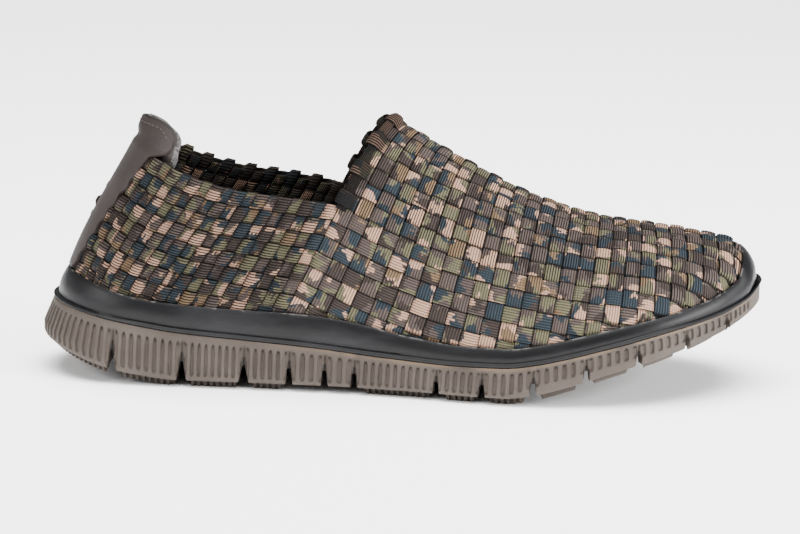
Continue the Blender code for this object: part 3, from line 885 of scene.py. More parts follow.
@dataclass(frozen=True)
class StrapFinish:
    """Ribbed elastic strap with a printed pattern of patches, dark on its back."""

    ground: Colour = (0.136, 0.126, 0.077)
    back: Colour = (0.013, 0.011, 0.0095)
    groove: Colour = (0.0026, 0.0022, 0.0020)
    strap_width: float = 0.0066
    patch_scale: float = 60.0
    patch_detail: float = 1.6
    patch_edge: float = 0.006
    smear: float = 0.0065
    smear_scale: float = 160.0
    smear_spread: float = 7.31
    ribs: float = 6.0
    rib_valley: Pair = (0.36, 0.80)
    rib_thread: Pair = (0.52, 0.90)
    rib_shade: float = 0.92
    thread_share: float = 0.80
    weft_pitch: float = 0.0011
    weft_valley: Pair = (0.35, 0.9)
    weft_shade: float = 0.75
    border: Pair = (0.86, 0.97)
    border_shade: float = 0.96
    yarn_counts: Pair = (30.0, 2400.0)
    yarn_shade: float = 0.30
    dip_shade: float = 0.94
    heel_shade: float = 0.32
    relief: Triple = (0.8, 0.5, 0.12)
    relief_depth: float = 0.00035
    relief_strength: float = 0.9
    roughness: float = 0.86
    specular: float = 0.10
    patches: tuple[PrintPatch, ...] = (
        PrintPatch((0.092, 0.070, 0.063), 0.48, 3.1),
        PrintPatch((0.029, 0.040, 0.050), 0.544, 11.7),
        PrintPatch((0.050, 0.038, 0.034), 0.580, 23.9),
        PrintPatch((0.490, 0.300, 0.214), 0.606, 37.3),
        PrintPatch((0.190, 0.125, 0.074), 0.670, 51.1),
    )

    def paint(self) -> Material:
        """Make the material.

        Returns:
            The material.
        """
        g = Graph("woven_straps")
        chart = g.node("ShaderNodeUVMap", {"uv_map": "strap"}, {})
        across, along, _ = g.parts(Sock(g, chart.outputs[0]))
        zone = g.node("ShaderNodeAttribute", {"attribute_name": "strap_zone"}, {})
        ribs, weft, inside = g.parts(Sock(g, zone.outputs["Color"]), colour=True)
        shade = Sock(g, zone.outputs["Alpha"])
        printed = self.pattern(g, across, along)
        yarn = g.noise(g.vector(across * self.yarn_counts[0], along * self.yarn_counts[1]),
                       1.0, 2.0, True)
        colour = g.mix(yarn * self.yarn_shade, printed, self.groove)
        colour = g.mix(g.attribute("strap_heel") * self.heel_shade, colour, self.groove)
        valley = ((across * self.ribs).fract() - 0.5).size() * 2.0
        pick = ((along / self.weft_pitch).fract() - 0.5).size() * 2.0
        rib_line = valley.step(*self.rib_valley) * ribs
        weft_line = pick.step(*self.weft_valley) * weft
        colour = g.mix(rib_line * self.rib_shade, colour, self.groove)
        colour = g.mix(weft_line * self.weft_shade, colour, self.groove)
        edge = ((across - 0.5).size() * 2.0).step(*self.border)
        colour = g.mix(edge * self.border_shade, colour, self.groove)
        thread = (1.0 - valley).step(*self.rib_thread) * self.thread_share
        colour = g.mix(inside, colour, g.mix(thread, self.back, printed))
        colour = g.mix(shade * self.dip_shade, colour, self.groove)
        of_rib, of_weft, of_yarn = self.relief
        height = 1.0 - rib_line * of_rib - weft_line * of_weft + yarn * of_yarn
        return g.finish(colour, self.roughness, height, self.relief_depth, self.relief_strength,
                        specular_ior_level=self.specular)

    def pattern(self, g: Graph, across: Sock, along: Sock) -> Sock:
        """Lay the print's patches over its ground, smeared along the strap rib by rib.

        Args:
            g: The material's nodes.
            across: Share of the strap's width.
            along: Distance along the strap.

        Returns:
            The print's colour.
        """
        flat = across * self.strap_width
        rib = g.math("FLOOR", across * self.ribs)
        ribbed = g.vector(rib * self.smear_spread, along * self.smear_scale)
        length = along + (g.noise(ribbed, 1.0, 2.0, True) - 0.5) * self.smear
        colour: Any = self.ground
        for patch in self.patches:
            at = g.vector(flat + patch.offset, length + patch.offset)
            spot = g.noise(at, self.patch_scale, self.patch_detail, True)
            low, high = patch.from_noise - self.patch_edge, patch.from_noise + self.patch_edge
            colour = g.mix(spot.step(low, high), colour, patch.colour)
        return colour


@dataclass(frozen=True)
class FoamFinish:
    """Matte moulded foam, with painted shade along its slots, in its creases and grooves, and on its
    pads.
    """

    colour: Colour = (0.066, 0.052, 0.043)
    pale: Colour = (0.090, 0.073, 0.061)
    deep: Colour = (0.012, 0.0095, 0.008)
    warm: Colour = (0.160, 0.112, 0.074)
    cloud_scale: float = 60.0
    cloud_step: Pair = (0.35, 0.75)
    grain_scale: float = 2600.0
    grain_shade: float = 0.22
    warm_step: Pair = (0.35, 0.60)
    slot_shade: float = 0.84
    roughness: Pair = (0.62, 0.2)
    grain_depth: float = 0.0001
    grain_strength: float = 0.35
    specular: float = 0.25

    def paint(self) -> Material:
        """Make the material.

        Returns:
            The material.
        """
        g = Graph("sole_foam")
        place = g.object_place()
        cloud = g.noise(place, self.cloud_scale, 4.0)
        grain = g.noise(place, self.grain_scale, 2.0)
        colour = g.mix(cloud.step(*self.cloud_step), self.colour, self.pale)
        colour = g.mix(grain * self.grain_shade, colour, self.deep)
        # Warmer, paler patches along the top of the wall in the front half.
        warm_top = g.attribute("warm") * cloud.step(*self.warm_step)
        colour = g.mix(warm_top, colour, self.warm)
        # Painted shade from the sole's slot value: slot borders and arch tops, creases, flex grooves
        # and pad tops.
        colour = g.mix(g.attribute("slot") * self.slot_shade, colour, self.deep)
        rough = self.roughness[0] + cloud * self.roughness[1]
        return g.finish(colour, rough, grain, self.grain_depth, self.grain_strength,
                        specular_ior_level=self.specular)


@dataclass(frozen=True)
class BandFinish:
    """Black rubber with a soft sheen and faint lighter patches, partly rubbing marks and partly
    painted reflection.
    """

    colour: Colour = (0.0036, 0.0036, 0.0042)
    rubbed_sheen: Colour = (0.015, 0.015, 0.017)
    glue: Colour = (0.22, 0.21, 0.20)
    mark_scales: Pair = (26.0, 90.0)
    mark_step: Pair = (0.45, 0.8)
    dent_scales: Pair = (95.0, 150.0)
    fine_detail: float = 5.0
    dent_detail: float = 3.0
    grain_scale: float = 1900.0
    grain_share: float = 0.12
    bead_scale: float = 240.0
    bead_step: Pair = (0.50, 0.62)
    bead_share: float = 0.45
    roughness: Pair = (0.33, 0.20)
    dent_depth: float = 0.0007
    dent_strength: float = 0.30
    specular: float = 0.22

    def paint(self) -> Material:
        """Make the material.

        Returns:
            The material.
        """
        g = Graph("rand_black")
        place = g.object_place()
        x, y, z = g.parts(place)
        round_it, up_it = self.mark_scales
        marks = g.noise(g.vector(x * round_it, y * round_it, z * up_it), 1.0, self.fine_detail)
        round_it, up_it = self.dent_scales
        dents = g.noise(g.vector(x * round_it, y * round_it, z * up_it), 1.0, self.dent_detail)
        grain = g.noise(place, self.grain_scale, 2.0)
        bead = g.noise(place, self.bead_scale, self.fine_detail).step(*self.bead_step)
        bead = g.attribute("glue") * bead
        # Lighter patches: partly rubbing marks, partly painted reflection on the black rubber.
        colour = g.mix(marks.step(*self.mark_step), self.colour, self.rubbed_sheen)
        colour = g.mix(bead * self.bead_share, colour, self.glue)
        rough = self.roughness[0] + marks * self.roughness[1]
        return g.finish(colour, rough, grain * self.grain_share + dents, self.dent_depth,
                        self.dent_strength, specular_ior_level=self.specular)


@dataclass(frozen=True)
class LeatherFinish:
    """Smooth taupe leather with a fine grain."""

    colour: Colour = (0.027, 0.0200, 0.0185)
    worn: Colour = (0.046, 0.0360, 0.0335)
    pore: Colour = (0.008, 0.006, 0.0055)
    cloud_scale: float = 90.0
    cloud_step: Pair = (0.45, 0.85)
    grain_scale: float = 1500.0
    pore_shade: float = 0.25
    roughness: Pair = (0.5, 0.2)
    grain_depth: float = 0.00012
    grain_strength: float = 0.4
    specular: float = 0.25

    def paint(self) -> Material:
        """Make the material.

        Returns:
            The material.
        """
        g = Graph("heel_leather")
        place = g.object_place()
        cloud = g.noise(place, self.cloud_scale, 4.0)
        cells = g.node("ShaderNodeTexVoronoi", {"feature": "F1"},
                       {"Vector": place, "Scale": self.grain_scale})
        grain = Sock(g, cells.outputs["Distance"])
        colour = g.mix(cloud.step(*self.cloud_step), self.colour, self.worn)
        colour = g.mix(grain * self.pore_shade, colour, self.pore)
        rough = self.roughness[0] + cloud * self.roughness[1]
        return g.finish(colour, rough, 1.0 - grain, self.grain_depth, self.grain_strength,
                        specular_ior_level=self.specular)


@dataclass(frozen=True)
class CutEdgeFinish:
    """The pale raw edge of cut leather."""

    colour: Colour = (0.120, 0.111, 0.111)
    fibre: Colour = (0.022, 0.020, 0.020)
    fibre_scale: float = 1100.0
    fibre_step: Pair = (0.36, 0.66)
    roughness: float = 0.85
    fibre_depth: float = 0.0002
    fibre_strength: float = 0.6

    def paint(self) -> Material:
        """Make the material.

        Returns:
            The material.
        """
        g = Graph("leather_cut_edge")
        fibres = g.noise(g.object_place(), self.fibre_scale, 4.0)
        colour = g.mix(fibres.step(*self.fibre_step), self.colour, self.fibre)
        return g.finish(colour, self.roughness, fibres, self.fibre_depth, self.fibre_strength)


@dataclass(frozen=True)
class ClothFinish:
    """Plain woven cloth or thread."""

    name: str
    colour: Colour
    dark: Colour
    pitch: float = 0.0008
    roughness: float = 0.9
    weave_depth: float = 0.0002
    weave_strength: float = 0.6

    def paint(self) -> Material:
        """Make the material.

        Returns:
            The material.
        """
        g = Graph(self.name)
        x, y, _ = g.parts(g.object_place())
        over = g.math("SINE", x * (math.tau / self.pitch))
        under = g.math("SINE", y * (math.tau / self.pitch))
        weave = (over * under) * 0.5 + 0.5
        colour = g.mix(weave, self.dark, self.colour)
        return g.finish(colour, self.roughness, weave, self.weave_depth, self.weave_strength)


@dataclass(frozen=True)
class FloorFinish:
    """The pale studio floor."""

    colour: Colour = (0.92, 0.92, 0.92)
    roughness: float = 0.75

    def paint(self) -> Material:
        """Make the floor's material."""
        return Graph("studio_floor").finish(self.colour, self.roughness)


INSOLE_CLOTH = ClothFinish("insole_cloth", (0.030, 0.029, 0.029), (0.012, 0.012, 0.012))
SEAM_THREAD = ClothFinish("seam_thread", (0.078, 0.064, 0.056), (0.040, 0.033, 0.030), 0.0005)


class Bench:
    """Modelling moves shared by the pieces."""

    MERGE_DISTANCE = 0.000002

    @staticmethod
    def clear_selection() -> None:
        """Let go of everything that is selected."""
        if bpy.context.object is not None and bpy.context.object.mode != "OBJECT":
            bpy.ops.object.mode_set(mode="OBJECT")
        bpy.ops.object.select_all(action="DESELECT")

    @classmethod
    def pick(cls, piece: Piece) -> None:
        """Select one piece alone and make it active.

        Args:
            piece: The piece.
        """
        cls.clear_selection()
        bpy.context.view_layer.objects.active = piece
        piece.select_set(True)

    @classmethod
    def grid(cls, name: str, across: int, along: int,
             place: Callable[[Array, Array], Array]) -> Piece:
        """Add a grid and lay each of its points where a function says.

        Args:
            name: The piece's name.
            across: Steps of the first count.
            along: Steps of the second count.
            place: Gives points from the two counts, as arrays.

        Returns:
            The piece.
        """
        cls.clear_selection()
        bpy.ops.mesh.primitive_grid_add(x_subdivisions=across, y_subdivisions=along, size=2.0)
        piece = bpy.context.object
        piece.name = name
        piece.data.name = name
        points = cls.points(piece)
        first = np.rint((points[:, 0] + 1.0) / 2.0 * across).astype(int)
        second = np.rint((points[:, 1] + 1.0) / 2.0 * along).astype(int)
        piece.data.vertices.foreach_set("co", place(first, second).astype(np.float32).ravel())
        piece.data.update()
        return piece

    @classmethod
    def close(cls, piece: Piece, ends: bool) -> None:
        """Join the seams of a rolled grid, shut its ends if asked, and turn its faces out.

        Args:
            piece: The piece.
            ends: Whether its ends are shut.
        """
        cls.pick(piece)
        bpy.ops.object.mode_set(mode="EDIT")
        bpy.ops.mesh.select_all(action="SELECT")
        bpy.ops.mesh.remove_doubles(threshold=cls.MERGE_DISTANCE)
        if ends:
            bpy.ops.mesh.select_all(action="DESELECT")
            bpy.ops.mesh.select_mode(type="EDGE")
            bpy.ops.mesh.select_non_manifold(extend=False)
            bpy.ops.mesh.fill()
        bpy.ops.mesh.select_mode(type="VERT")
        bpy.ops.mesh.select_all(action="SELECT")
        bpy.ops.mesh.normals_make_consistent(inside=False)
        bpy.ops.object.mode_set(mode="OBJECT")

    @classmethod
    def modify(cls, piece: Piece, kind: str, **settings: Any) -> None:
        """Add a modifier and apply it.

        Args:
            piece: The piece.
            kind: The modifier's type.
            settings: Its settings.
        """
        cls.pick(piece)
        made = piece.modifiers.new(kind.lower(), kind)
        for key, value in settings.items():
            setattr(made, key, value)
        bpy.ops.object.modifier_apply(modifier=made.name)

    @classmethod
    def soften(cls, piece: Piece, angle: float) -> None:
        """Shade smooth, except over edges sharper than an angle in degrees."""
        cls.pick(piece)
        bpy.ops.object.shade_smooth_by_angle(angle=math.radians(angle))

    @staticmethod
    def from_arrays(name: str, points: Array, faces: list[Any]) -> Piece:
        """Make one mesh of many small things.

        Args:
            name: The piece's name.
            points: All points.
            faces: Point numbers of each face.

        Returns:
            The piece.
        """
        mesh = bpy.data.meshes.new(name)
        mesh.from_pydata(points.tolist(), [], faces)
        piece = bpy.data.objects.new(name, mesh)
        bpy.context.scene.collection.objects.link(piece)
        return piece

    @staticmethod
    def tube(start: int, rings: int, sides: int, way: int = 1) -> list[list[int]]:
        """Faces of a closed tube of points, ring after ring.

        Args:
            start: Number of its first point.
            rings: Rings along it.
            sides: Points in each ring.
            way: 1, or -1 where the faces have to be turned round.

        Returns:
            Point numbers of each face.
        """
        index = start + np.arange(rings * sides).reshape(rings, sides)
        turned = np.roll(index, -1, axis=1)
        quads = np.stack([index[:-1], turned[:-1], turned[1:], index[1:]], axis=-1).reshape(-1, 4)
        return quads[:, ::way].tolist() + [index[0][::-way].tolist(), index[-1][::way].tolist()]

    @staticmethod
    def value(piece: Piece, name: str, values: Array) -> None:
        """Store one number for each point of a piece."""
        made = piece.data.attributes.new(name, "FLOAT", "POINT")
        made.data.foreach_set("value", np.asarray(values, np.float32))

    @staticmethod
    def points(piece: Piece) -> Array:
        """Points of a piece's mesh.

        Args:
            piece: The piece.

        Returns:
            Points, (n, 3).
        """
        flat = np.empty(len(piece.data.vertices) * 3, np.float32)
        piece.data.vertices.foreach_get("co", flat)
        return flat.reshape(-1, 3).astype(float)

    @staticmethod
    def settle(piece: Piece, slot: str, nodes: Sequence[str],
               finishes: Sequence[Material]) -> None:
        """Give a piece its finishes, its place on the body and the nodes it stands for.

        Args:
            piece: The piece.
            slot: Not used.
            nodes: CAD nodes that it replaces.
            finishes: Its materials.
        """
        for finish in finishes:
            piece.data.materials.append(finish)
        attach(piece, BODY)
        if nodes:
            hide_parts(*nodes)
        LOG.info("%s: %d faces", piece.name, len(piece.data.polygons))


@dataclass
class StrapUpper:
    """The woven upper: straps over the foot and straps along it, one over, one under."""

    last: Last
    weave: Weave
    quarter_straps: int = 22
    foot_rows: int = 19
    thickness: float = 0.0011
    steps: int = 7
    least_steps: int = 8
    last_column: float = 45.75
    row_margin: float = 0.05
    foot_margin: float = 0.1
    sharpness: float = 1.5
    vamp_start: Pair = (-1.2, 0.6)
    low_vamp_rows: Pair = (6.2, 8.4)
    band_clear: Pair = (-0.0006, 0.0030)
    leather_clear: Pair = (-0.0024, 0.0004)
    tuck_depth: float = 0.00042
    crown_wave: Pair = (0.0, 0.95)
    dip_wave: Pair = (-0.25, 0.22)
    heel_swell: float = 0.0013
    swell_columns: float = 4.0
    inner_drop: float = 0.22
    outer_drop: float = -0.05
    far_drop: float = 0.02
    fold_dark: float = 0.95
    fold_rows: Pair = (0.16, 0.02)
    edge_rise: float = 0.15
    rise_wave: Pair = (-0.3, 0.55)
    rise_columns: Pair = (18.2, 19.8)
    rise_widen: float = 1.9
    collar_shade: float = 0.35
    throat_gap: float = 0.06
    wrap_lift: float = 0.0026
    wrap_radius: float = 0.0020
    wrap_run: Pair = (0.8, 0.2)
    wrap_steps: int = 8
    wrap_column: float = 0.02
    wrap_dark: float = 0.92
    dark_run: Pair = (0.92, 0.76)
    back_run: Pair = (0.5, 0.1)
    tail_steps: int = 4
    tail_columns: float = 0.7
    edge_back: float = 0.0002
    edge_lift: float = 0.0016
    edge_over: float = 0.0022
    edge_reach: float = 0.2
    edge_width: float = 0.66
    edge_dark: float = 0.94
    gloom: float = 0.86
    over_print: float = 0.613
    beside_print: float = 0.417
    beside_starts: Pair = (31.0, 57.0)
    round_print: Pair = (211.0, 1.31)
    throat_print: Pair = (401.0, 1.77)
    throat_starts: Pair = (0.0, 13.0)
    edge_print: float = 77.0
    smooth_angle: float = 60.0
    over: StrapZone = StrapZone(
        (0.91, 0.95, 0.95), (-0.00050, 0.00020, 0.0), (0.00062, 0.00068, 0.00062),
        (0.12, 1.00, 0.66), (1.00, 0.06, 0.12), (0.0001, 0.0002, 0.0001))
    along: StrapZone = StrapZone(
        (1.02, 0.89, 0.95), (0.00005, -0.00020, 0.0), (0.00080, 0.00054, 0.00062),
        (1.00, 0.06, 0.66), (0.06, 1.00, 0.16), (0.0009, 0.0001, 0.0001))
    ring: tuple[Pair, ...] = (
        (-1.00, 0.00), (-0.94, 0.62), (-0.70, 0.90), (-0.25, 1.00), (0.25, 1.00), (0.70, 0.90),
        (0.94, 0.62), (1.00, 0.00), (0.86, -0.85), (0.00, -0.95), (-0.86, -0.85))
    face_points: int = 8
    ring_top: int = 3
    ring_back: int = 9

    def __post_init__(self) -> None:
        """Start with no straps."""
        self.strip = columns_of(STRIP_ROWS)
        self.store: dict[Run, list[tuple[Array, Array, Array]]] = {run: [] for run in Run}

    def chart_column(self, strap: Array) -> Array:
        """Column of the chart for a strap's own count."""
        straps, columns = self.quarter_straps, self.last.quarter_columns
        return np.where(strap < straps, strap * columns / straps, strap - straps + columns)

    def zones(self, column: Array, row: Array) -> Array:
        """Shares of quarter, upper vamp and lower vamp at places of the chart.

        Args:
            column: Columns.
            row: Rows.

        Returns:
            Shares, (n, 3).
        """
        throat = self.last.quarter_columns
        ahead = smooth(column, throat + self.vamp_start[0], throat + self.vamp_start[1])
        low = smooth(row, *self.low_vamp_rows)
        return np.stack([1.0 - ahead, ahead * (1.0 - low), ahead * low], axis=-1)

    def tuck(self, column: Array, row: Array, sign: Array, place: Array) -> Array:
        """How freely the straps bulge: none under the band and the heel leather.

        Args:
            column: Columns.
            row: Rows.
            sign: Which side each point is on.
            place: The points.

        Returns:
            Shares of the bulge.
        """
        clear = place[:, 2] - self.last.band_top(place[:, 0])
        free = smooth(clear, *self.band_clear)
        up = (self.weave.foot_row(column, sign) - row) * self.last.row_pitch
        half = np.where(sign < 0, self.strip["outer"](up), self.strip["inner"](up))
        beyond = column * self.last.heel_column_width - half
        return free * np.maximum(smooth(beyond, *self.leather_clear), (up < STRIP_ROWS[0].up))

    def lay(self, run: Run, column: Array, row: Array, sign: Array, wave: Array, seed: float,
            turn: Values = 0.0, lift: Values = math.nan, dark: Values = 0.0, widen: Values = 1.0,
            back: Values = 0.0, shaded: float = 1.0, gloom: Values = 0.0) -> None:
        """Lay one strap along a line of the chart.

        Args:
            run: Which way the strap lies.
            column: Columns of its middle line.
            row: Rows of its middle line.
            sign: Which side each point is on.
            wave: How far over (1) or under (-1) the crossing straps it is.
            seed: Start of its print.
            turn: Angle by which the strap has wrapped round an edge.
            lift: Height that replaces the wave where the strap wraps, else not a number.
            dark: Share of its face that shows the dark back.
            widen: Factor on its width.
            back: How far it is drawn back over the throat's edge.
            shaded: How dark it is where it dips.
            gloom: How dark it is at least.
        """
        zone = self.over if run is Run.OVER_FOOT else self.along
        turn, lift, dark, back, gloom = (np.zeros_like(wave) + part
                                         for part in (turn, lift, dark, back, gloom))
        shares = self.zones(column, row)
        width, raised, swing, ribs, weft, puff = (shares @ np.array(part) for part in zone)
        middle, _, _ = self.weave.signed(column, row, sign)
        free = self.tuck(column, row, sign, middle)
        height = (raised + swing * wave) * free - self.tuck_depth * (1.0 - free)
        height = np.where(np.isnan(lift), height, lift)
        ring = np.array(self.ring)
        reach = (width * widen)[:, None] / 2.0 * ring[None, :, 0]
        columns, rows, signs = (np.repeat(part[:, None], len(ring), axis=1)
                                for part in (column, row, sign))
        if run is Run.OVER_FOOT:
            scale = np.where(column < self.last.quarter_columns,
                             self.last.quarter_columns / self.quarter_straps, 1.0)
            columns = np.abs(columns + reach * scale[:, None])
        else:
            rows = rows + reach
            signs = np.where(rows < 0.0, -signs, signs)
            rows = np.abs(rows)
        place, out, up = self.weave.signed(columns, rows, signs)
        opening = -unit(np.cross(out, up)) * signs[..., None]
        face = out * np.cos(turn)[:, None, None] + opening * np.sin(turn)[:, None, None]
        points = place + out * height[:, None, None]
        points = points + opening * back[:, None, None]
        points = points + face * (ring[None, :, 1, None] * self.thickness / 2.0)
        lies = np.isnan(lift)
        swell = self.heel_swell * (sign > 0) * smooth(column, self.swell_columns, 0.0)
        crown = puff + swell * (run is Run.ALONG_FOOT)
        crown = crown * smooth(wave, *self.crown_wave) * free * lies
        points = points + face * (crown[:, None] * (1.0 - ring[None, :, 0] ** 2))[..., None]
        length = path_lengths(middle) + seed
        size = points.shape[:2]
        chart = np.stack([np.broadcast_to((ring[:, 0] + 1.0) / 2.0, size),
                          np.broadcast_to(length[:, None], size)], axis=-1)
        inside = np.zeros(size)
        inside[:, self.face_points:] = 1.0
        inside = np.maximum(inside, dark[:, None])
        of_face, of_back = (1.0 - smooth(side, *self.dip_wave) for side in (wave, -wave))
        hidden = np.stack([of_face] * self.face_points
                          + [of_back] * (len(ring) - self.face_points), axis=-1)
        hidden = np.maximum(hidden * (lies * shaded)[:, None], gloom[:, None])
        ribs, weft, quarter = (np.broadcast_to(part[:, None], size)
                               for part in (ribs, weft, shares[:, 0]))
        tone = np.stack([ribs, weft, inside, hidden, quarter], axis=-1)
        self.store[run].append((points, chart, tone))

    def swing(self, count: Array, flip: int) -> Array:
        """Wave of a strap over and under, flat on its crests."""
        wave = np.cos(math.pi * (count - 0.5)) * (-1.0 if flip % 2 else 1.0)
        return np.tanh(self.sharpness * wave) / math.tanh(self.sharpness)

    def lay_over_foot(self) -> None:
        """Straps over the vamp from sole to sole, and straps from collar to sole beside the heel."""
        first = self.quarter_straps
        for strap in range(first, first + self.last.vamp_columns):
            column = float(self.chart_column(np.array(strap + 0.5)))
            if column > self.last_column:
                continue
            low = -float(self.weave.reach_at(Side.OUTER, np.array(column)))
            high = float(self.weave.reach_at(Side.INNER, np.array(column)))
            count = np.linspace(low, high, max(self.least_steps, int((high - low) * self.steps)))
            none = np.zeros_like(count)
            self.lay(Run.OVER_FOOT, none + column, np.abs(count), np.sign(count) + (count == 0),
                     self.swing(count, strap), strap * self.over_print)
        for side in Side:
            for strap in range(first):
                self.lay_beside(int(side), strap)

    def lay_beside(self, side: int, strap: int) -> None:
        """One strap from the collar to the sole.

        Args:
            side: Which long side.
            strap: The strap's count.
        """
        column = float(self.chart_column(np.array(strap + 0.5)))
        top = float(self.last.collar_row)
        low = float(self.weave.reach_at(side, np.array(column)))
        inside = self.swing(np.array([(top + 0.5) * side]), strap)[0] < 0.0
        drop = self.outer_drop if side == Side.OUTER else self.far_drop
        start = top + (self.inner_drop if inside else drop)
        row = np.linspace(low, start, int((low - start) * self.steps))
        none = np.zeros_like(row)
        seed = strap * self.beside_print + self.beside_starts[side == Side.INNER]
        dark = self.fold_dark * smooth(row, start + self.fold_rows[0], start + self.fold_rows[1])
        self.lay(Run.OVER_FOOT, none + column, row, none + side, self.swing(row * side, strap),
                 seed, dark=dark)

    def lay_along_foot(self) -> None:
        """Straps round the heel to the toe, and straps from the throat to the toe."""
        corner = self.last.collar_row
        for step in range(self.foot_rows):
            ends = {int(side): self.end_column(int(side), step + 0.5) for side in Side}
            if step >= corner:
                self.lay_round_heel(step, ends)
            else:
                for side in Side:
                    self.lay_from_throat(int(side), step, ends[int(side)])

    def end_column(self, side: int, row: float) -> float:
        """Chart column where a row runs under the band."""
        fits = self.weave.columns[self.weave.reach[side] > row + self.row_margin]
        return min(float(fits.max()) if len(fits) else 0.0, self.last_column)

    def strap_count(self, column: Array) -> Array:
        """A strap's own count for a column of the chart."""
        straps, columns = self.quarter_straps, self.last.quarter_columns
        return np.where(column < columns, column * straps / columns, column - columns + straps)

    def lay_round_heel(self, step: int, ends: dict[int, float]) -> None:
        """One strap from toe to toe round the heel.

        Args:
            step: The strap's row.
            ends: Its last column on each side.
        """
        low = -float(self.strap_count(np.array(ends[Side.OUTER])))
        high = float(self.strap_count(np.array(ends[Side.INNER])))
        if min(-low, high) < 1.0:
            return
        count = np.linspace(low, high, int((high - low) * self.steps))
        column = self.chart_column(np.abs(count))
        wave = -self.swing(count, step)
        foot = self.weave.foot_row(column, count)
        row = np.minimum(np.full_like(count, step + 0.5), foot - self.foot_margin)
        widen = np.ones_like(count)
        shaded = 1.0
        if step == self.last.collar_row:
            raised = smooth(-wave, *self.rise_wave) * (count > 0.0)
            raised = raised * (1.0 - smooth(column, *self.rise_columns))
            row = row - self.edge_rise * raised
            widen = widen + self.rise_widen * self.edge_rise * raised
            shaded = self.collar_shade
        seed = self.round_print[0] + step * self.round_print[1]
        self.lay(Run.ALONG_FOOT, column, row, np.where(count < 0.0, -1.0, 1.0), wave, seed,
                 widen=widen, shaded=shaded)

    def lay_from_throat(self, side: int, step: int, end: float) -> None:
        """One strap from the throat's edge to the toe, wrapped round the edge at every second row.

        Args:
            side: Which long side.
            step: The strap's row.
            end: Its last column.
        """
        first = float(self.quarter_straps)
        high = float(self.strap_count(np.array(end)))
        count = np.linspace(high, first + self.throat_gap,
                            max(self.least_steps, int((high - first) * self.steps)))
        wave = -self.swing(count * side, step)
        column = self.chart_column(count)
        turn = np.zeros_like(count)
        lift = np.full_like(count, np.nan)
        dark = np.zeros_like(count)
        back = np.zeros_like(count)
        if -self.swing(np.array([(first + 0.5) * side]), step)[0] > 0.0:
            past = count - first
            near = smooth(past, *self.wrap_run)
            kept = wave * self.along.wave[1] + self.along.lift[1]
            lift = np.where(past < self.wrap_run[0], kept * (1 - near) + self.wrap_lift * near, np.nan)
            angle = np.linspace(0.0, 1.0, self.wrap_steps) * math.pi
            tail = np.linspace(0.0, 1.0, self.tail_steps + 1)[1:]
            edge = float(self.last.quarter_columns) + self.wrap_column
            middle = self.wrap_lift - self.wrap_radius
            added = np.ones(self.wrap_steps + self.tail_steps)
            column = np.concatenate([column, edge + 0.0 * angle, edge + self.tail_columns * tail])
            lift = np.concatenate([lift, middle + np.cos(angle) * self.wrap_radius,
                                   np.full_like(tail, middle - self.wrap_radius)])
            turn = np.concatenate([turn, angle, np.full_like(tail, math.pi)])
            wave = np.concatenate([wave, 0.0 * added])
            dark = self.wrap_dark * np.concatenate([smooth(past, *self.dark_run), added])
            back = self.edge_back * smooth(past, *self.back_run)
            back = np.concatenate([back, self.edge_back + np.sin(angle) * self.wrap_radius,
                                   self.edge_back * (1.0 - tail)])
        size = np.ones_like(column)
        seed = self.throat_print[0] + step * self.throat_print[1]
        seed = seed + self.throat_starts[side == Side.INNER]
        self.lay(Run.ALONG_FOOT, column, size * (step + 0.5), size * side, wave, seed, turn, lift,
                 dark, back=back, gloom=self.gloom * dark)

    def lay_throat_edge(self) -> None:
        """The dark strap along the throat's edge, from collar to collar."""
        end = self.last.collar_row + self.edge_reach
        count = np.linspace(-end, end, int(2 * end * self.steps))
        none = np.zeros_like(count)
        column = float(self.last.quarter_columns) + 0.5
        self.lay(Run.OVER_FOOT, none + column, np.abs(count), np.sign(count) + (count == 0), none,
                 self.edge_print, lift=self.edge_lift, dark=self.edge_dark, widen=self.edge_width,
                 back=self.edge_over, gloom=self.gloom)

    def join(self, run: Run, name: str) -> Piece:
        """Join all straps of one way into one piece.

        Args:
            run: Which way.
            name: The piece's name.

        Returns:
            The piece, with its chart and its zones.
        """
        points: list[Array] = []
        charts: list[Array] = []
        tones: list[Array] = []
        faces: list[Any] = []
        start = 0
        for place, chart, tone in self.store[run]:
            steps, ring = place.shape[:2]
            here, ahead = place[steps // 2], place[steps // 2 + 1]
            top = here[self.ring_top]
            cross = np.cross(here[self.ring_top + 1] - top, ahead[self.ring_top] - top)
            way = -1 if np.dot(top - here[self.ring_back], cross) < 0.0 else 1
            faces += Bench.tube(start, steps, ring, way)
            points.append(place.reshape(-1, 3))
            charts.append(chart.reshape(-1, 2))
            tones.append(tone.reshape(len(points[-1]), -1))
            start += steps * ring
        piece = Bench.from_arrays(name, np.concatenate(points), faces)
        mesh = piece.data
        order = np.empty(len(mesh.loops), np.int32)
        mesh.loops.foreach_get("vertex_index", order)
        layer = mesh.uv_layers.new(name="strap")
        layer.data.foreach_set("uv", np.concatenate(charts)[order].astype(np.float32).ravel())
        zone = mesh.attributes.new("strap_zone", "FLOAT_COLOR", "POINT")
        tone = np.concatenate(tones)
        zone.data.foreach_set("color", tone[:, :4].astype(np.float32).ravel())
        Bench.value(piece, "strap_heel", tone[:, 4])
        Bench.soften(piece, self.smooth_angle)
        return piece

    def build(self, finish: Material) -> None:
        """Weave the upper and dress it.

        Args:
            finish: The straps' material.
        """
        self.lay_over_foot()
        self.lay_throat_edge()
        self.lay_along_foot()
        over = self.join(Run.OVER_FOOT, "straps_over_foot")
        along = self.join(Run.ALONG_FOOT, "straps_along_foot")
        Bench.settle(over, "woven_straps", ["upper"], [finish])
        Bench.settle(along, "woven_straps", ["upper"], [finish])


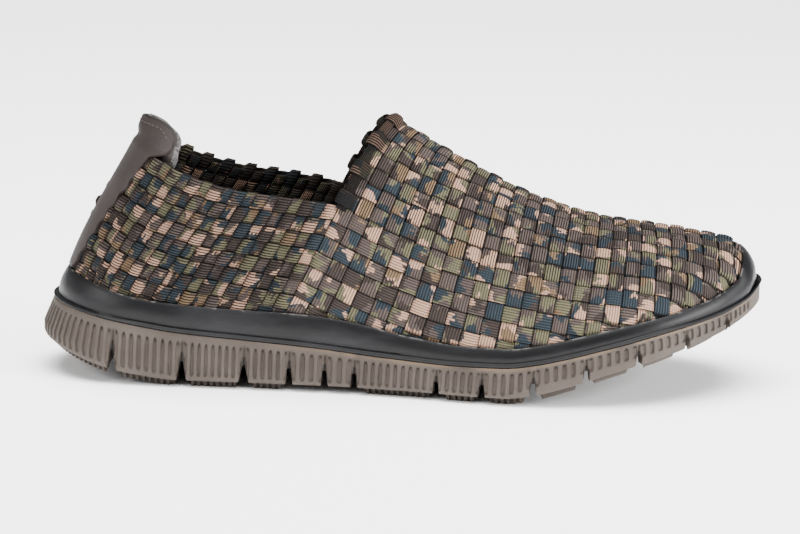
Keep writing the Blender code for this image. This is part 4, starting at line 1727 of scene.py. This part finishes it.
@dataclass
class SoleUnit:
    """The foam sole: ribbed wall with arched slots, flex grooves and toothed pads."""

    PAD_STEPS = 2

    last: Last
    pitch: float = 0.00031
    side_rows: int = 20
    end_gap: float = 0.00005
    end_run: float = 0.004
    forefoot: Pair = (0.040, 0.060)
    pad_height: float = 0.0028
    pad_inset: float = 0.0042
    pad_margin: float = 0.0038
    pad_run: float = 0.0010
    pad_splay: float = 0.0010
    pad_shoulder: float = 0.25
    pad_shade: Pair = (0.75, 0.22)
    tooth_pitch: float = 0.0025
    tooth_half: float = 0.27
    tooth_depth: float = 0.0011
    foot_round: float = 0.0012
    foot_round_share: float = 0.10
    swell_share: float = 0.30
    warm_heights: Pair = (0.86, 1.0)
    warm_x: Pair = (-0.07, 0.0)
    slot_depth: float = 0.0008
    slot_share: float = 0.54
    slot_line: float = 0.085
    slot_low: Pair = (0.13, 0.25)
    slot_high: Pair = (0.82, 0.02)
    slot_arch: float = 0.12
    slot_foot: float = 0.08
    slot_foot_round: float = 0.7
    slot_slack: float = 0.02
    slot_slope: float = 0.07
    slot_border: float = 0.62
    slot_crown: Pair = (-0.09, -0.03)
    slot_crown_half: float = 0.36
    groove_share: float = 0.42
    groove_half: float = 0.0014
    groove_ramp: float = 0.35
    heel_groove_half: float = 0.0021
    heel_groove_ramp: float = 0.70
    heel_groove_x: float = -0.055
    crease_depth: float = 0.0013
    crease_half: float = 0.0008
    crease_span: Pair = (0.92, 0.78)
    crease_shade: Pair = (0.9, 0.35)
    crease_shade_end: float = 0.6
    toe_ribs: int = 12
    ribs_end_x: float = 0.1412
    plain_pads: Pair = (0.0545, 0.1318)
    smooth_angle: float = 32.0

    def layout(self) -> None:
        """Space stations evenly round the outer edge, and work out each one's rib and groove."""
        lengths = self.last.outline_lengths(self.last.fine_x, Side.OUTER)
        distance = np.linspace(0.0, lengths[-1], int(lengths[-1] / self.pitch))
        x = np.interp(distance, lengths, self.last.fine_x)
        self.x = np.clip(x, self.last.back_x + self.end_gap, self.last.tip_x - self.end_gap)
        cuts = np.interp([block.groove_x for block in SOLE_BLOCKS], self.last.fine_x, lengths)
        edges = np.concatenate([[-self.end_run], cuts, [lengths[-1] + self.end_run]])
        block = np.clip(np.searchsorted(edges, distance) - 1, 0, len(edges) - 2)
        ribs = np.array([row.ribs for row in SOLE_BLOCKS] + [self.toe_ribs])
        padded = np.array([row.padded for row in SOLE_BLOCKS] + [True])
        share = (distance - edges[block]) / (edges[block + 1] - edges[block])
        self.phase = share * ribs[block]
        self.near = np.minimum(distance - edges[block], edges[block + 1] - distance)
        away = np.abs(distance[:, None] - cuts[None, :]).min(axis=1)
        heel = self.x < self.heel_groove_x
        half = np.where(heel, self.heel_groove_half, self.groove_half)
        ramp = half * np.where(heel, self.heel_groove_ramp, self.groove_ramp)
        self.groove = np.clip((half - away) / ramp, 0.0, 1.0)
        self.crease = np.exp(-(away / self.crease_half) ** 2)
        inside = self.near - self.pad_margin + self.pad_run
        self.pad = np.where(padded[block], np.clip(inside / self.pad_run, 0.0, 1.0), 0.0)
        toothed = (self.x < self.plain_pads[0]) | (self.x > self.plain_pads[1])
        self.tooth = toothed * (np.abs((distance / self.tooth_pitch) % 1.0 - 0.5) < self.tooth_half)
        self.front = smooth(self.x, *self.forefoot)

    def slot(self, share: Array, station: Array) -> tuple[Array, Array]:
        """Work out the arched slots of the wall.

        Args:
            share: Heights of the wall, from 0 to 1.
            station: Station numbers.

        Returns:
            How deep the slots are, and the painted shade along their borders and under their arched
            tops, both from 0 to 1.
        """
        front = self.front[station]
        low = self.slot_low[0] + self.slot_low[1] * front
        high = self.slot_high[0] + self.slot_high[1] * front
        arch = np.clip((share - (high - self.slot_arch)) / self.slot_arch, 0.0, 1.0)
        foot = np.clip(((low + self.slot_foot) - share) / self.slot_foot, 0.0, 1.0)
        left = np.clip(1.0 - arch ** 2 - self.slot_foot_round * foot ** 2, 0.0, 1.0)
        half = self.slot_share / 2.0 * np.sqrt(left)
        off = np.abs(self.phase[station] % 1.0 - 0.5)
        here = (share > low - self.slot_slack) & (share < high + self.slot_slack)
        here = here & (self.x[station] < self.ribs_end_x)
        clear = here * (1.0 - np.clip(self.crease[station] * 2.0, 0.0, 1.0))
        inside = np.clip((half - off) / self.slot_slope, 0.0, 1.0) * clear
        # Painted shade: a dark line along each slot's border and a dark spot under its arched top.
        border = np.clip(1.0 - np.abs(off - half) / self.slot_line, 0.0, 1.0)
        crown = smooth(share - high, *self.slot_crown) * (off < self.slot_share * self.slot_crown_half)
        return inside, np.maximum(border * self.slot_border, crown) * clear

    def half_ring(self) -> int:
        """Steps from the middle of the underside to the top of the wall."""
        return self.PAD_STEPS + 1 + self.side_rows

    def place(self, station: Array, ring: Array) -> Array:
        """Points of the sole by station and by count round its ring.

        Args:
            station: Station numbers.
            ring: Counts from the middle of the underside up the outer wall and down the inner one.

        Returns:
            Points. The painted shade of slot borders, arch tops, creases, grooves and pads is kept for
            the finish.
        """
        half = self.half_ring()
        side = np.where(ring < half, Side.OUTER, Side.INNER)
        step = np.where(ring < half, ring, 2 * half - 1 - ring)
        step = np.where(ring == 2 * half, 0, step)
        side = np.where(ring == 2 * half, Side.OUTER, side)
        x = self.x[station]
        foot = self.last.profile["floor"](x) + self.pad_height
        top = self.last.profile["top"](x)
        flare = self.last.profile["flare"](x)
        lift = self.groove_share * (top - foot) * self.groove[station]
        share = np.clip((step - self.PAD_STEPS) / self.side_rows, 0.0, 1.0)
        height = foot + lift + share * (top - foot - lift)
        real = (height - foot) / (top - foot)
        corner = np.clip(1.0 - real / self.foot_round_share, 0.0, 1.0) ** 2
        inset = self.foot_round * corner
        inset = inset + flare * np.maximum(0.0, real - self.swell_share) / (1.0 - self.swell_share)
        slot, border = self.slot(real, station)
        crease = self.crease[station] * smooth(real, *self.crease_span)
        inset = inset + self.slot_depth * slot + self.crease_depth * crease
        pads = step < self.PAD_STEPS
        teeth = self.pad_inset - self.tooth_depth * self.tooth[station]
        inset = np.where(pads, teeth + np.where(step == 0, self.pad_splay, 0.0), inset)
        drop = self.pad_height * self.pad[station] * (self.groove[station] == 0.0)
        height = np.where(step == 0, foot + lift - drop, np.where(step == 1, foot + lift, height))
        shoulder = np.minimum(height, foot + lift - drop * self.pad_shoulder)
        height = np.where(step == 1, shoulder, height)
        # Painted shade: slot borders and tops, creases, the low half of the flex grooves, and the
        # pads' tops under the wall's foot.
        low, all_up = self.crease_shade
        deep = np.maximum(border, low * crease * (real < self.crease_shade_end) + all_up * crease)
        deep = np.maximum(deep, (self.groove[station] > 0.5) * (real < 0.5))
        under = np.where(step == 1, *self.pad_shade)
        self.painted_shade = np.where(pads, under, deep)
        warm = smooth(real, *self.warm_heights) * smooth(x, *self.warm_x)
        self.warm = np.where(pads, 0.0, warm)
        outer, _ = self.last.edge(x, Side.OUTER, inset)
        inner, _ = self.last.edge(x, Side.INNER, inset)
        points = np.where((side == Side.OUTER)[:, None], outer, inner)
        is_top = share >= 1.0
        points[:, 2] = np.where(is_top, self.last.profile["top"](points[:, 0]), height)
        return points

    def build(self, finish: Material) -> None:
        """Mould the sole and dress it.

        Args:
            finish: The foam.
        """
        self.layout()
        rings = 2 * self.half_ring()
        piece = Bench.grid("sole_unit_moulded", len(self.x) - 1, rings, self.place)
        # The slot value holds painted shade for the foam's finish.
        Bench.value(piece, "slot", self.painted_shade)
        Bench.value(piece, "warm", self.warm)
        Bench.close(piece, True)
        Bench.soften(piece, self.smooth_angle)
        Bench.settle(piece, "sole_foam", ["sole_unit"], [finish])


@dataclass
class Rand:
    """The black band round the foot of the upper, with its lip and its toe bumper."""

    LIP_POINTS = 4

    last: Last
    weave: Weave
    columns: int = 420
    outline_points: int = 4001
    crowding: float = 0.35
    seat: float = 0.0004
    stand: float = 0.0009
    thick: float = 0.0021
    top_thick: float = 0.0012
    belly: float = 0.0005
    crest: float = 0.0005
    lip_out: float = 0.0007
    lip_thick: float = 0.0009
    lip_round: float = 0.0003
    lip_shoulder: Pair = (0.0005, 0.0004)
    lip_span: Pair = (0.100, 0.128)
    lip_flush: float = 0.85
    face_rise: float = 1.5
    face_step: float = 0.0003
    first_share: float = 0.03
    cast: float = 0.040
    heights: int = 12
    glue_run: float = 0.0006
    smooth_angle: float = 50.0

    def sections(self) -> Array:
        """Rings of points round the band, one for each column.

        Returns:
            Points, (columns, ring, 3).
        """
        tree = self.weave.tree()
        count = self.last.outline_steps
        places = np.linspace(0, count, self.outline_points)
        fine = np.interp(places, np.arange(count + 1), self.last.fine_x)
        outline = [(x, Side.OUTER) for x in fine] + [(x, Side.INNER) for x in fine[::-1]]
        plan = np.array([[x, self.last.plan_y(np.array(x), side)] for x, side in outline])
        lengths = path_lengths(plan)
        rings = []
        for n in range(self.columns):
            turn = (n + 0.5) / self.columns
            turn -= self.crowding * math.sin(4 * math.pi * turn) / (4 * math.pi)
            x, side = outline[int(np.searchsorted(lengths, lengths[-1] * turn))]
            rings.append(self.ring(float(x), int(side), tree))
        return np.array(rings)

    def ring(self, x: float, side: int, tree: BVHTree) -> Array:
        """One ring: lip, outer face upwards, inner face downwards.

        Args:
            x: Place along the sole.
            side: Which long side.
            tree: Search tree over the upper.

        Returns:
            Points, (ring, 3).
        """
        foot, outward = (value[0] for value in self.last.foot(np.array([x]), side))
        rise = float(self.last.band_top(foot[0])) - foot[2]
        up = np.array([0.0, 0.0, 1.0])
        inner = []
        for share in np.linspace(self.first_share, 1.0, self.heights):
            base = foot + up * (rise * share)
            hit = tree.ray_cast(Vector(base + outward * self.cast), Vector(-outward))[0]
            inner.append((base if hit is None else np.array(hit)) + outward * self.stand)
        inner = np.array(inner)
        inner[0, 2] = float(self.last.profile["top"](inner[0, 0])) + self.seat
        here = np.array([x])
        lip = self.last.edge(here, side, self.last.profile["flare"](here) - self.lip_out)[0][0]
        lip[2] = float(self.last.profile["top"](lip[0])) + self.seat
        share = np.linspace(0.0, 1.0, self.heights)
        thick = self.thick + self.belly * np.sin(math.pi * share)
        thick = thick - (self.thick - self.top_thick) * share ** 3
        outer = inner + outward * thick[:, None]
        back, low = self.lip_shoulder
        above = up * self.lip_thick * self.face_rise
        outer[0] += above
        flush = self.lip_flush * float(smooth(abs(x), *self.lip_span[::-1]))
        outer[0] += flush * (lip + above - outward * back - outer[0])
        outer[1, 2] = max(outer[1, 2], outer[0, 2] + self.face_step)
        round_top = (outer[-1] + inner[-1]) / 2.0 + up * self.crest
        lips = [lip - outward * self.lip_round, lip + up * self.lip_round,
                lip + up * (self.lip_thick - low), lip + up * self.lip_thick - outward * back]
        return np.concatenate([lips, outer, [round_top], inner[::-1]])

    def build(self, finish: Material) -> None:
        """Mould the band and dress it.

        Args:
            finish: The rubber.
        """
        rings = self.sections()
        columns, ring = rings.shape[:2]

        def place(first: Array, second: Array) -> Array:
            """Points of the band by column and by count round its ring."""
            return rings[first % columns, second % ring]

        piece = Bench.grid("rand_band", columns, ring, place)
        points = Bench.points(piece)
        crest = rings[:, self.LIP_POINTS + self.heights]
        apart = np.linalg.norm(points[:, None, :2] - crest[None, :, :2], axis=2)
        below = points[:, 2] - crest[np.argmin(apart, axis=1), 2]
        Bench.value(piece, "glue", smooth(below, -self.glue_run, 0.0))
        Bench.close(piece, False)
        Bench.soften(piece, self.smooth_angle)
        Bench.settle(piece, "rand_black", ["rand"], [finish])


@dataclass
class HeelLeather:
    """The strip up the heel, the flap inside its tab, and their stitches."""

    last: Last
    weave: Weave
    thick: float = 0.0016
    clear: float = 0.0006
    meet_gap: float = 0.00006
    collar_span: Pair = (-0.0005, 0.0045)
    pinch: float = 44.0
    pinch_start: float = 0.0033
    lean: float = 0.0028
    lean_span: Pair = (0.0005, 0.0085)
    lean_slope: float = 0.08
    lean_reach: float = 0.018
    ripple: float = 0.0006
    ripple_pitch: float = 0.0074
    ripple_end: Pair = (0.066, 0.060)
    across: int = 52
    heights: int = 72
    crowding: float = 1.6
    wall: float = 0.0018
    tab_height: float = 0.0840
    border_faces: int = 2
    bevel: float = 0.00028
    bevel_angle: float = 50.0
    smooth_angle: float = 40.0
    stitch_inset: float = 0.0024
    seam_foot: float = 0.0775
    seam_top: float = 0.0804
    seam_rise: float = 0.0014
    seam_points: tuple[int, int] = (20, 40)
    stitch_pitch: float = 0.0024
    stitch_length: float = 0.0017
    stitch_radius: float = 0.00028
    stitch_stand: float = 0.7
    stitch_taper: float = 0.45
    stitch_rings: int = 5
    stitch_sides: int = 6
    stitch_angle: float = 80.0

    def over_heel(self, across: Array, up: Array, offset: Array) -> Array:
        """Points over the heel's middle, by distance across and up, stood off from the upper.

        Args:
            across: Distances from the middle.
            up: Heights over the upper's foot.
            offset: How far they stand off.

        Returns:
            Points, (n, 3).
        """
        sign = np.where(across > 0.0, 1.0, -1.0)
        column = np.abs(across) / self.last.heel_column_width
        row = self.weave.foot_row(column, sign) - up / self.last.row_pitch
        place, out, _ = self.weave.signed(column, row, sign)
        rise = (self.last.collar_row - row) * self.last.row_pitch
        place = place.copy()
        place[..., 1] *= 1.0 - self.pinch * np.maximum(0.0, rise - self.pinch_start)
        lean = self.lean * smooth(rise, *self.lean_span)
        lean = lean + self.lean_slope * np.maximum(0.0, rise - self.lean_span[1])
        place[..., 0] -= lean * np.maximum(0.0, 1.0 - np.abs(across) / self.lean_reach)
        return place + out * np.asarray(offset)[..., None]

    def above(self, across: Array, up: Array) -> Array:
        """How far points stand above the collar, as a share of a soft step.

        Args:
            across: Distances from the middle.
            up: Heights over the upper's foot.

        Returns:
            Shares.
        """
        column = np.abs(across) / self.last.heel_column_width
        reach = self.weave.foot_row(column, across)
        past = (self.last.collar_row - reach) * self.last.row_pitch + up
        return smooth(past, *self.collar_span)

    def panel(self, name: str, rows: Sequence[StripRow], outside: bool,
              finishes: Sequence[Material], node: str) -> None:
        """One leather panel, as wide at each height as its table says.

        Args:
            name: The piece's name.
            rows: Its widths.
            outside: Whether it lies outside the upper.
            finishes: Face and cut edge.
            node: The CAD node that it replaces.
        """
        widths = columns_of(rows)
        heights = self.heights
        low, high = rows[0].up, rows[-1].up

        def place(first: Array, second: Array) -> Array:
            """Points of the panel's outer face.

            Args:
                first: Counts across it.
                second: Counts up it.

            Returns:
                Points, (n, 3).
            """
            share = second / heights
            up = low + (high - low) * (1.0 - (1.0 - share) ** self.crowding)
            ripple = self.ripple * np.sin(up * math.tau / self.ripple_pitch)
            ripple = ripple * smooth(up, *self.ripple_end)
            outer, inner = widths["outer"](up) + ripple, widths["inner"](up) + ripple
            across = -outer + (outer + inner) * first / self.across
            over = self.above(across, up)
            mid = -self.wall / 2
            plain = self.clear + self.thick if outside else -(self.wall + self.clear)
            met = mid + self.thick + self.meet_gap if outside else mid - self.meet_gap
            return self.over_heel(across, up, plain * (1.0 - over) + met * over)

        piece = Bench.grid(name, self.across, heights, place)
        middle = heights // 2 * self.across + self.across // 2
        if piece.data.polygons[middle].normal[0] > 0.0:
            piece.data.flip_normals()
        for finish in finishes:
            piece.data.materials.append(finish)
        if not outside:
            self.trim(piece)
        Bench.modify(piece, "SOLIDIFY", thickness=self.thick, offset=-1.0,
                     material_offset_rim=int(not outside))
        for face in piece.data.polygons:
            if face.center[2] < self.tab_height:
                face.material_index = 0
        Bench.modify(piece, "BEVEL", width=self.bevel, segments=2, limit_method="ANGLE",
                     angle_limit=math.radians(self.bevel_angle))
        Bench.soften(piece, self.smooth_angle)
        Bench.settle(piece, "heel_leather", [node], [])

    def trim(self, piece: Piece) -> None:
        """Show the raw edge of the lining along the tab's border.

        Args:
            piece: The lining.
        """
        for face in piece.data.polygons:
            second, first = divmod(face.index, self.across)
            off = min(first, self.across - 1 - first, self.heights - 1 - second)
            border = off < self.border_faces
            face.material_index = int(border and face.center[2] > self.tab_height)

    def stitch_line(self) -> Array:
        """Points along the tab's top seam, from the outer side to the inner one.

        Returns:
            Distances across and up, (n, 2).
        """
        widths = columns_of(STRIP_ROWS)
        on_side, on_top = self.seam_points
        ups = np.linspace(self.seam_foot, self.seam_top, on_side)
        edge = ups + self.seam_rise
        outer = np.stack([-widths["outer"](edge) + self.stitch_inset, ups], axis=-1)
        inner = np.stack([widths["inner"](edge) - self.stitch_inset, ups], axis=-1)
        across = np.linspace(outer[-1, 0], inner[-1, 0], on_top)[1:-1]
        top = np.stack([across, np.full_like(across, self.seam_top)], axis=-1)
        return np.concatenate([outer, top, inner[::-1]])

    def build(self, leather: Material, edge: Material, thread: Material) -> None:
        """Cut, fold and stitch the leather.

        Args:
            leather: Its face.
            edge: Its cut edge.
            thread: Its thread.
        """
        self.panel("heel_strip_leather", STRIP_ROWS, True, [leather, edge], "heel_strip")
        self.panel("tab_lining_leather", LINING_ROWS, False, [leather, edge], "tab_lining")
        line = self.stitch_line()
        place = self.over_heel(line[:, 0], line[:, 1], self.offset_over(line))
        steps = path_lengths(place)
        count = int(steps[-1] / self.stitch_pitch)
        points: list[Array] = []
        faces: list[Any] = []
        for n in range(count):
            at = (n + 0.5) * self.stitch_pitch
            ends = [np.array([np.interp(at + d, steps, place[:, k]) for k in range(3)])
                    for d in (-self.stitch_length / 2, self.stitch_length / 2)]
            self.stitch(ends[0], ends[1], points, faces)
        piece = Bench.from_arrays("tab_stitches", np.concatenate(points), faces)
        Bench.soften(piece, self.stitch_angle)
        Bench.settle(piece, "heel_leather", [], [thread])

    def offset_over(self, line: Array) -> Array:
        """Height of the leather's outer face along a line of across and up.

        Args:
            line: Distances across and up, (n, 2).

        Returns:
            Heights of the thread's middle.
        """
        over = self.above(line[:, 0], line[:, 1])
        met = -self.wall / 2 + self.thick
        stand = self.stitch_radius * self.stitch_stand
        return (self.clear + self.thick) * (1.0 - over) + met * over + stand

    def stitch(self, start: Array, end: Array, points: list[Array], faces: list[Any]) -> None:
        """Add one stitch: a short round thread that dips into the leather at both ends.

        Args:
            start: Its first end.
            end: Its last end.
            points: Points so far.
            faces: Faces so far.
        """
        way = unit(end - start)
        side = unit(np.cross(way, np.array([0.0, 0.0, 1.0])))
        lift = np.cross(side, way)
        base = sum(len(part) for part in points)
        rings, sides = self.stitch_rings, self.stitch_sides
        angle = np.arange(sides)[:, None] * math.tau / sides
        around = np.cos(angle) * side + np.sin(angle) * lift
        for n in range(rings):
            share = n / (rings - 1)
            swell = self.stitch_taper + (1.0 - self.stitch_taper) * math.sin(math.pi * share)
            points.append(start + (end - start) * share + self.stitch_radius * swell * around)
        faces.extend(Bench.tube(base, rings, sides))


@dataclass
class Insole:
    """The cloth-covered footbed inside the shoe."""

    last: Last
    stations: int = 120
    thick: float = 0.0030
    slab: float = 0.0016
    dish: float = 0.0012
    inset: float = 0.0070
    end_share: float = 0.6
    across: int = 16
    smooth_angle: float = 40.0

    def place(self, first: Array, second: Array) -> Array:
        """Points of the footbed's top, a little dished along its middle.

        Args:
            first: Counts along it.
            second: Counts across it.

        Returns:
            Points, (n, 3).
        """
        lengths = self.last.outline_lengths(self.last.fine_x, Side.OUTER)
        share = (first + self.end_share) / (self.stations + 2.0 * self.end_share)
        x = np.interp(share * lengths[-1], lengths, self.last.fine_x)
        inset = self.last.profile["flare"](x) + self.inset
        outer, _ = self.last.edge(x, Side.OUTER, inset)
        inner, _ = self.last.edge(x, Side.INNER, inset)
        part = (second / self.across)[:, None]
        points = outer * (1 - part) + inner * part
        dish = 4.0 * part[:, 0] * (1.0 - part[:, 0])
        seat = self.last.profile["top"](points[:, 0]) + self.last.seat_gap
        points[:, 2] = seat + self.thick - self.dish * dish
        return points

    def build(self, finish: Material) -> None:
        """Lay the footbed and dress it.

        Args:
            finish: Its cloth.
        """
        piece = Bench.grid("insole_footbed", self.stations, self.across, self.place)
        if piece.data.polygons[0].normal[2] < 0.0:
            piece.data.flip_normals()
        Bench.modify(piece, "SOLIDIFY", thickness=self.slab, offset=-1.0)
        Bench.soften(piece, self.smooth_angle)
        Bench.settle(piece, "insole_cloth", ["insole"], [finish])


class Lamp(NamedTuple):
    """A soft lamp: its place, its aim, its size, its power, and whether it lights the floor alone."""

    name: str
    place: Triple
    aim: Triple
    size: float
    power: float
    floor_only: bool


@dataclass
class Studio:
    """Pale floor, soft lamps and the camera at the photograph's angle."""

    image_width: float = 800.0
    image_height: float = 534.0
    focal_pixels: float = 3943.1
    centre_x: float = 402.08
    centre_y: float = 264.77
    azimuth: float = 2.0
    elevation: float = 12.5
    distance: float = 1.6
    roll: float = 1.27
    target: Triple = (0.0, 0.0, 0.045)
    sensor_width: float = 36.0
    clip_start: float = 0.05
    floor_size: float = 12.0
    floor_drop: float = 0.0001
    sky: float = 0.30
    lamps: tuple[Lamp, ...] = (
        Lamp("left_lamp", (-1.15, -0.85, 0.75), (-0.05, 0.0, 0.05), 0.8, 19.0, False),
        Lamp("right_lamp", (1.25, -0.50, 0.50), (0.08, 0.0, 0.04), 0.7, 42.0, False),
        Lamp("top_lamp", (0.05, -0.05, 1.35), (0.0, 0.0, 0.05), 1.2, 33.0, False),
        Lamp("floor_lamp", (0.0, 0.1, 2.20), (0.0, 0.1, 0.0), 2.4, 200.0, True),
    )

    def build(self, floor_finish: Material) -> None:
        """Set floor, lamps, sky and camera.

        Args:
            floor_finish: The floor's material.
        """
        Bench.clear_selection()
        bpy.ops.mesh.primitive_plane_add(size=self.floor_size, location=(0.0, 0.0, -self.floor_drop))
        floor = bpy.context.object
        floor.name = "studio_floor"
        floor.data.materials.append(floor_finish)
        for lamp in self.lamps:
            data = bpy.data.lights.new(lamp.name, "AREA")
            data.size = lamp.size
            data.energy = lamp.power
            made = bpy.data.objects.new(lamp.name, data)
            made.location = lamp.place
            way = Vector(lamp.aim) - Vector(lamp.place)
            made.rotation_euler = way.to_track_quat("-Z", "Y").to_euler()
            bpy.context.scene.collection.objects.link(made)
            if lamp.floor_only:
                lit = bpy.data.collections.new("floor_alone")
                lit.objects.link(floor)
                made.light_linking.receiver_collection = lit
        world = bpy.data.worlds.new("studio_sky")
        world.use_nodes = True
        sky = world.node_tree.nodes["Background"].inputs
        sky["Color"].default_value = (1.0, 1.0, 1.0, 1.0)
        sky["Strength"].default_value = self.sky
        bpy.context.scene.world = world
        self.camera()

    def camera(self) -> None:
        """Place the camera."""
        data = bpy.data.cameras.new("photo_camera")
        data.sensor_width = self.sensor_width
        data.lens = self.focal_pixels * data.sensor_width / self.image_width
        data.shift_x = -(self.centre_x - self.image_width / 2) / self.image_width
        data.shift_y = (self.centre_y - self.image_height / 2) / self.image_width
        data.clip_start = self.clip_start
        made = bpy.data.objects.new("photo_camera", data)
        bpy.context.scene.collection.objects.link(made)
        a, e = math.radians(self.azimuth), math.radians(self.elevation)
        back = Vector((math.sin(a) * math.cos(e), -math.cos(a) * math.cos(e), math.sin(e)))
        made.location = Vector(self.target) + back * self.distance
        look = (-back).to_track_quat("-Z", "Y").to_matrix()
        roll = math.radians(self.roll)
        turned = look.copy()
        turned.col[0] = look.col[0] * math.cos(roll) + look.col[1] * math.sin(roll)
        turned.col[1] = look.col[1] * math.cos(roll) - look.col[0] * math.sin(roll)
        made.rotation_euler = turned.to_euler()
        bpy.context.scene.camera = made


def main() -> None:
    """Build every piece in order."""
    logging.basicConfig(level=logging.INFO, format="%(message)s")
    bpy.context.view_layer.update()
    last = Last()
    weave = Weave(last)
    Studio().build(FloorFinish().paint())
    SoleUnit(last).build(FoamFinish().paint())
    Insole(last).build(INSOLE_CLOTH.paint())
    StrapUpper(last, weave).build(StrapFinish().paint())
    Rand(last, weave).build(BandFinish().paint())
    leather, edge, thread = LeatherFinish().paint(), CutEdgeFinish().paint(), SEAM_THREAD.paint()
    HeelLeather(last, weave).build(leather, edge, thread)


if __name__ == "__main__":
    main()
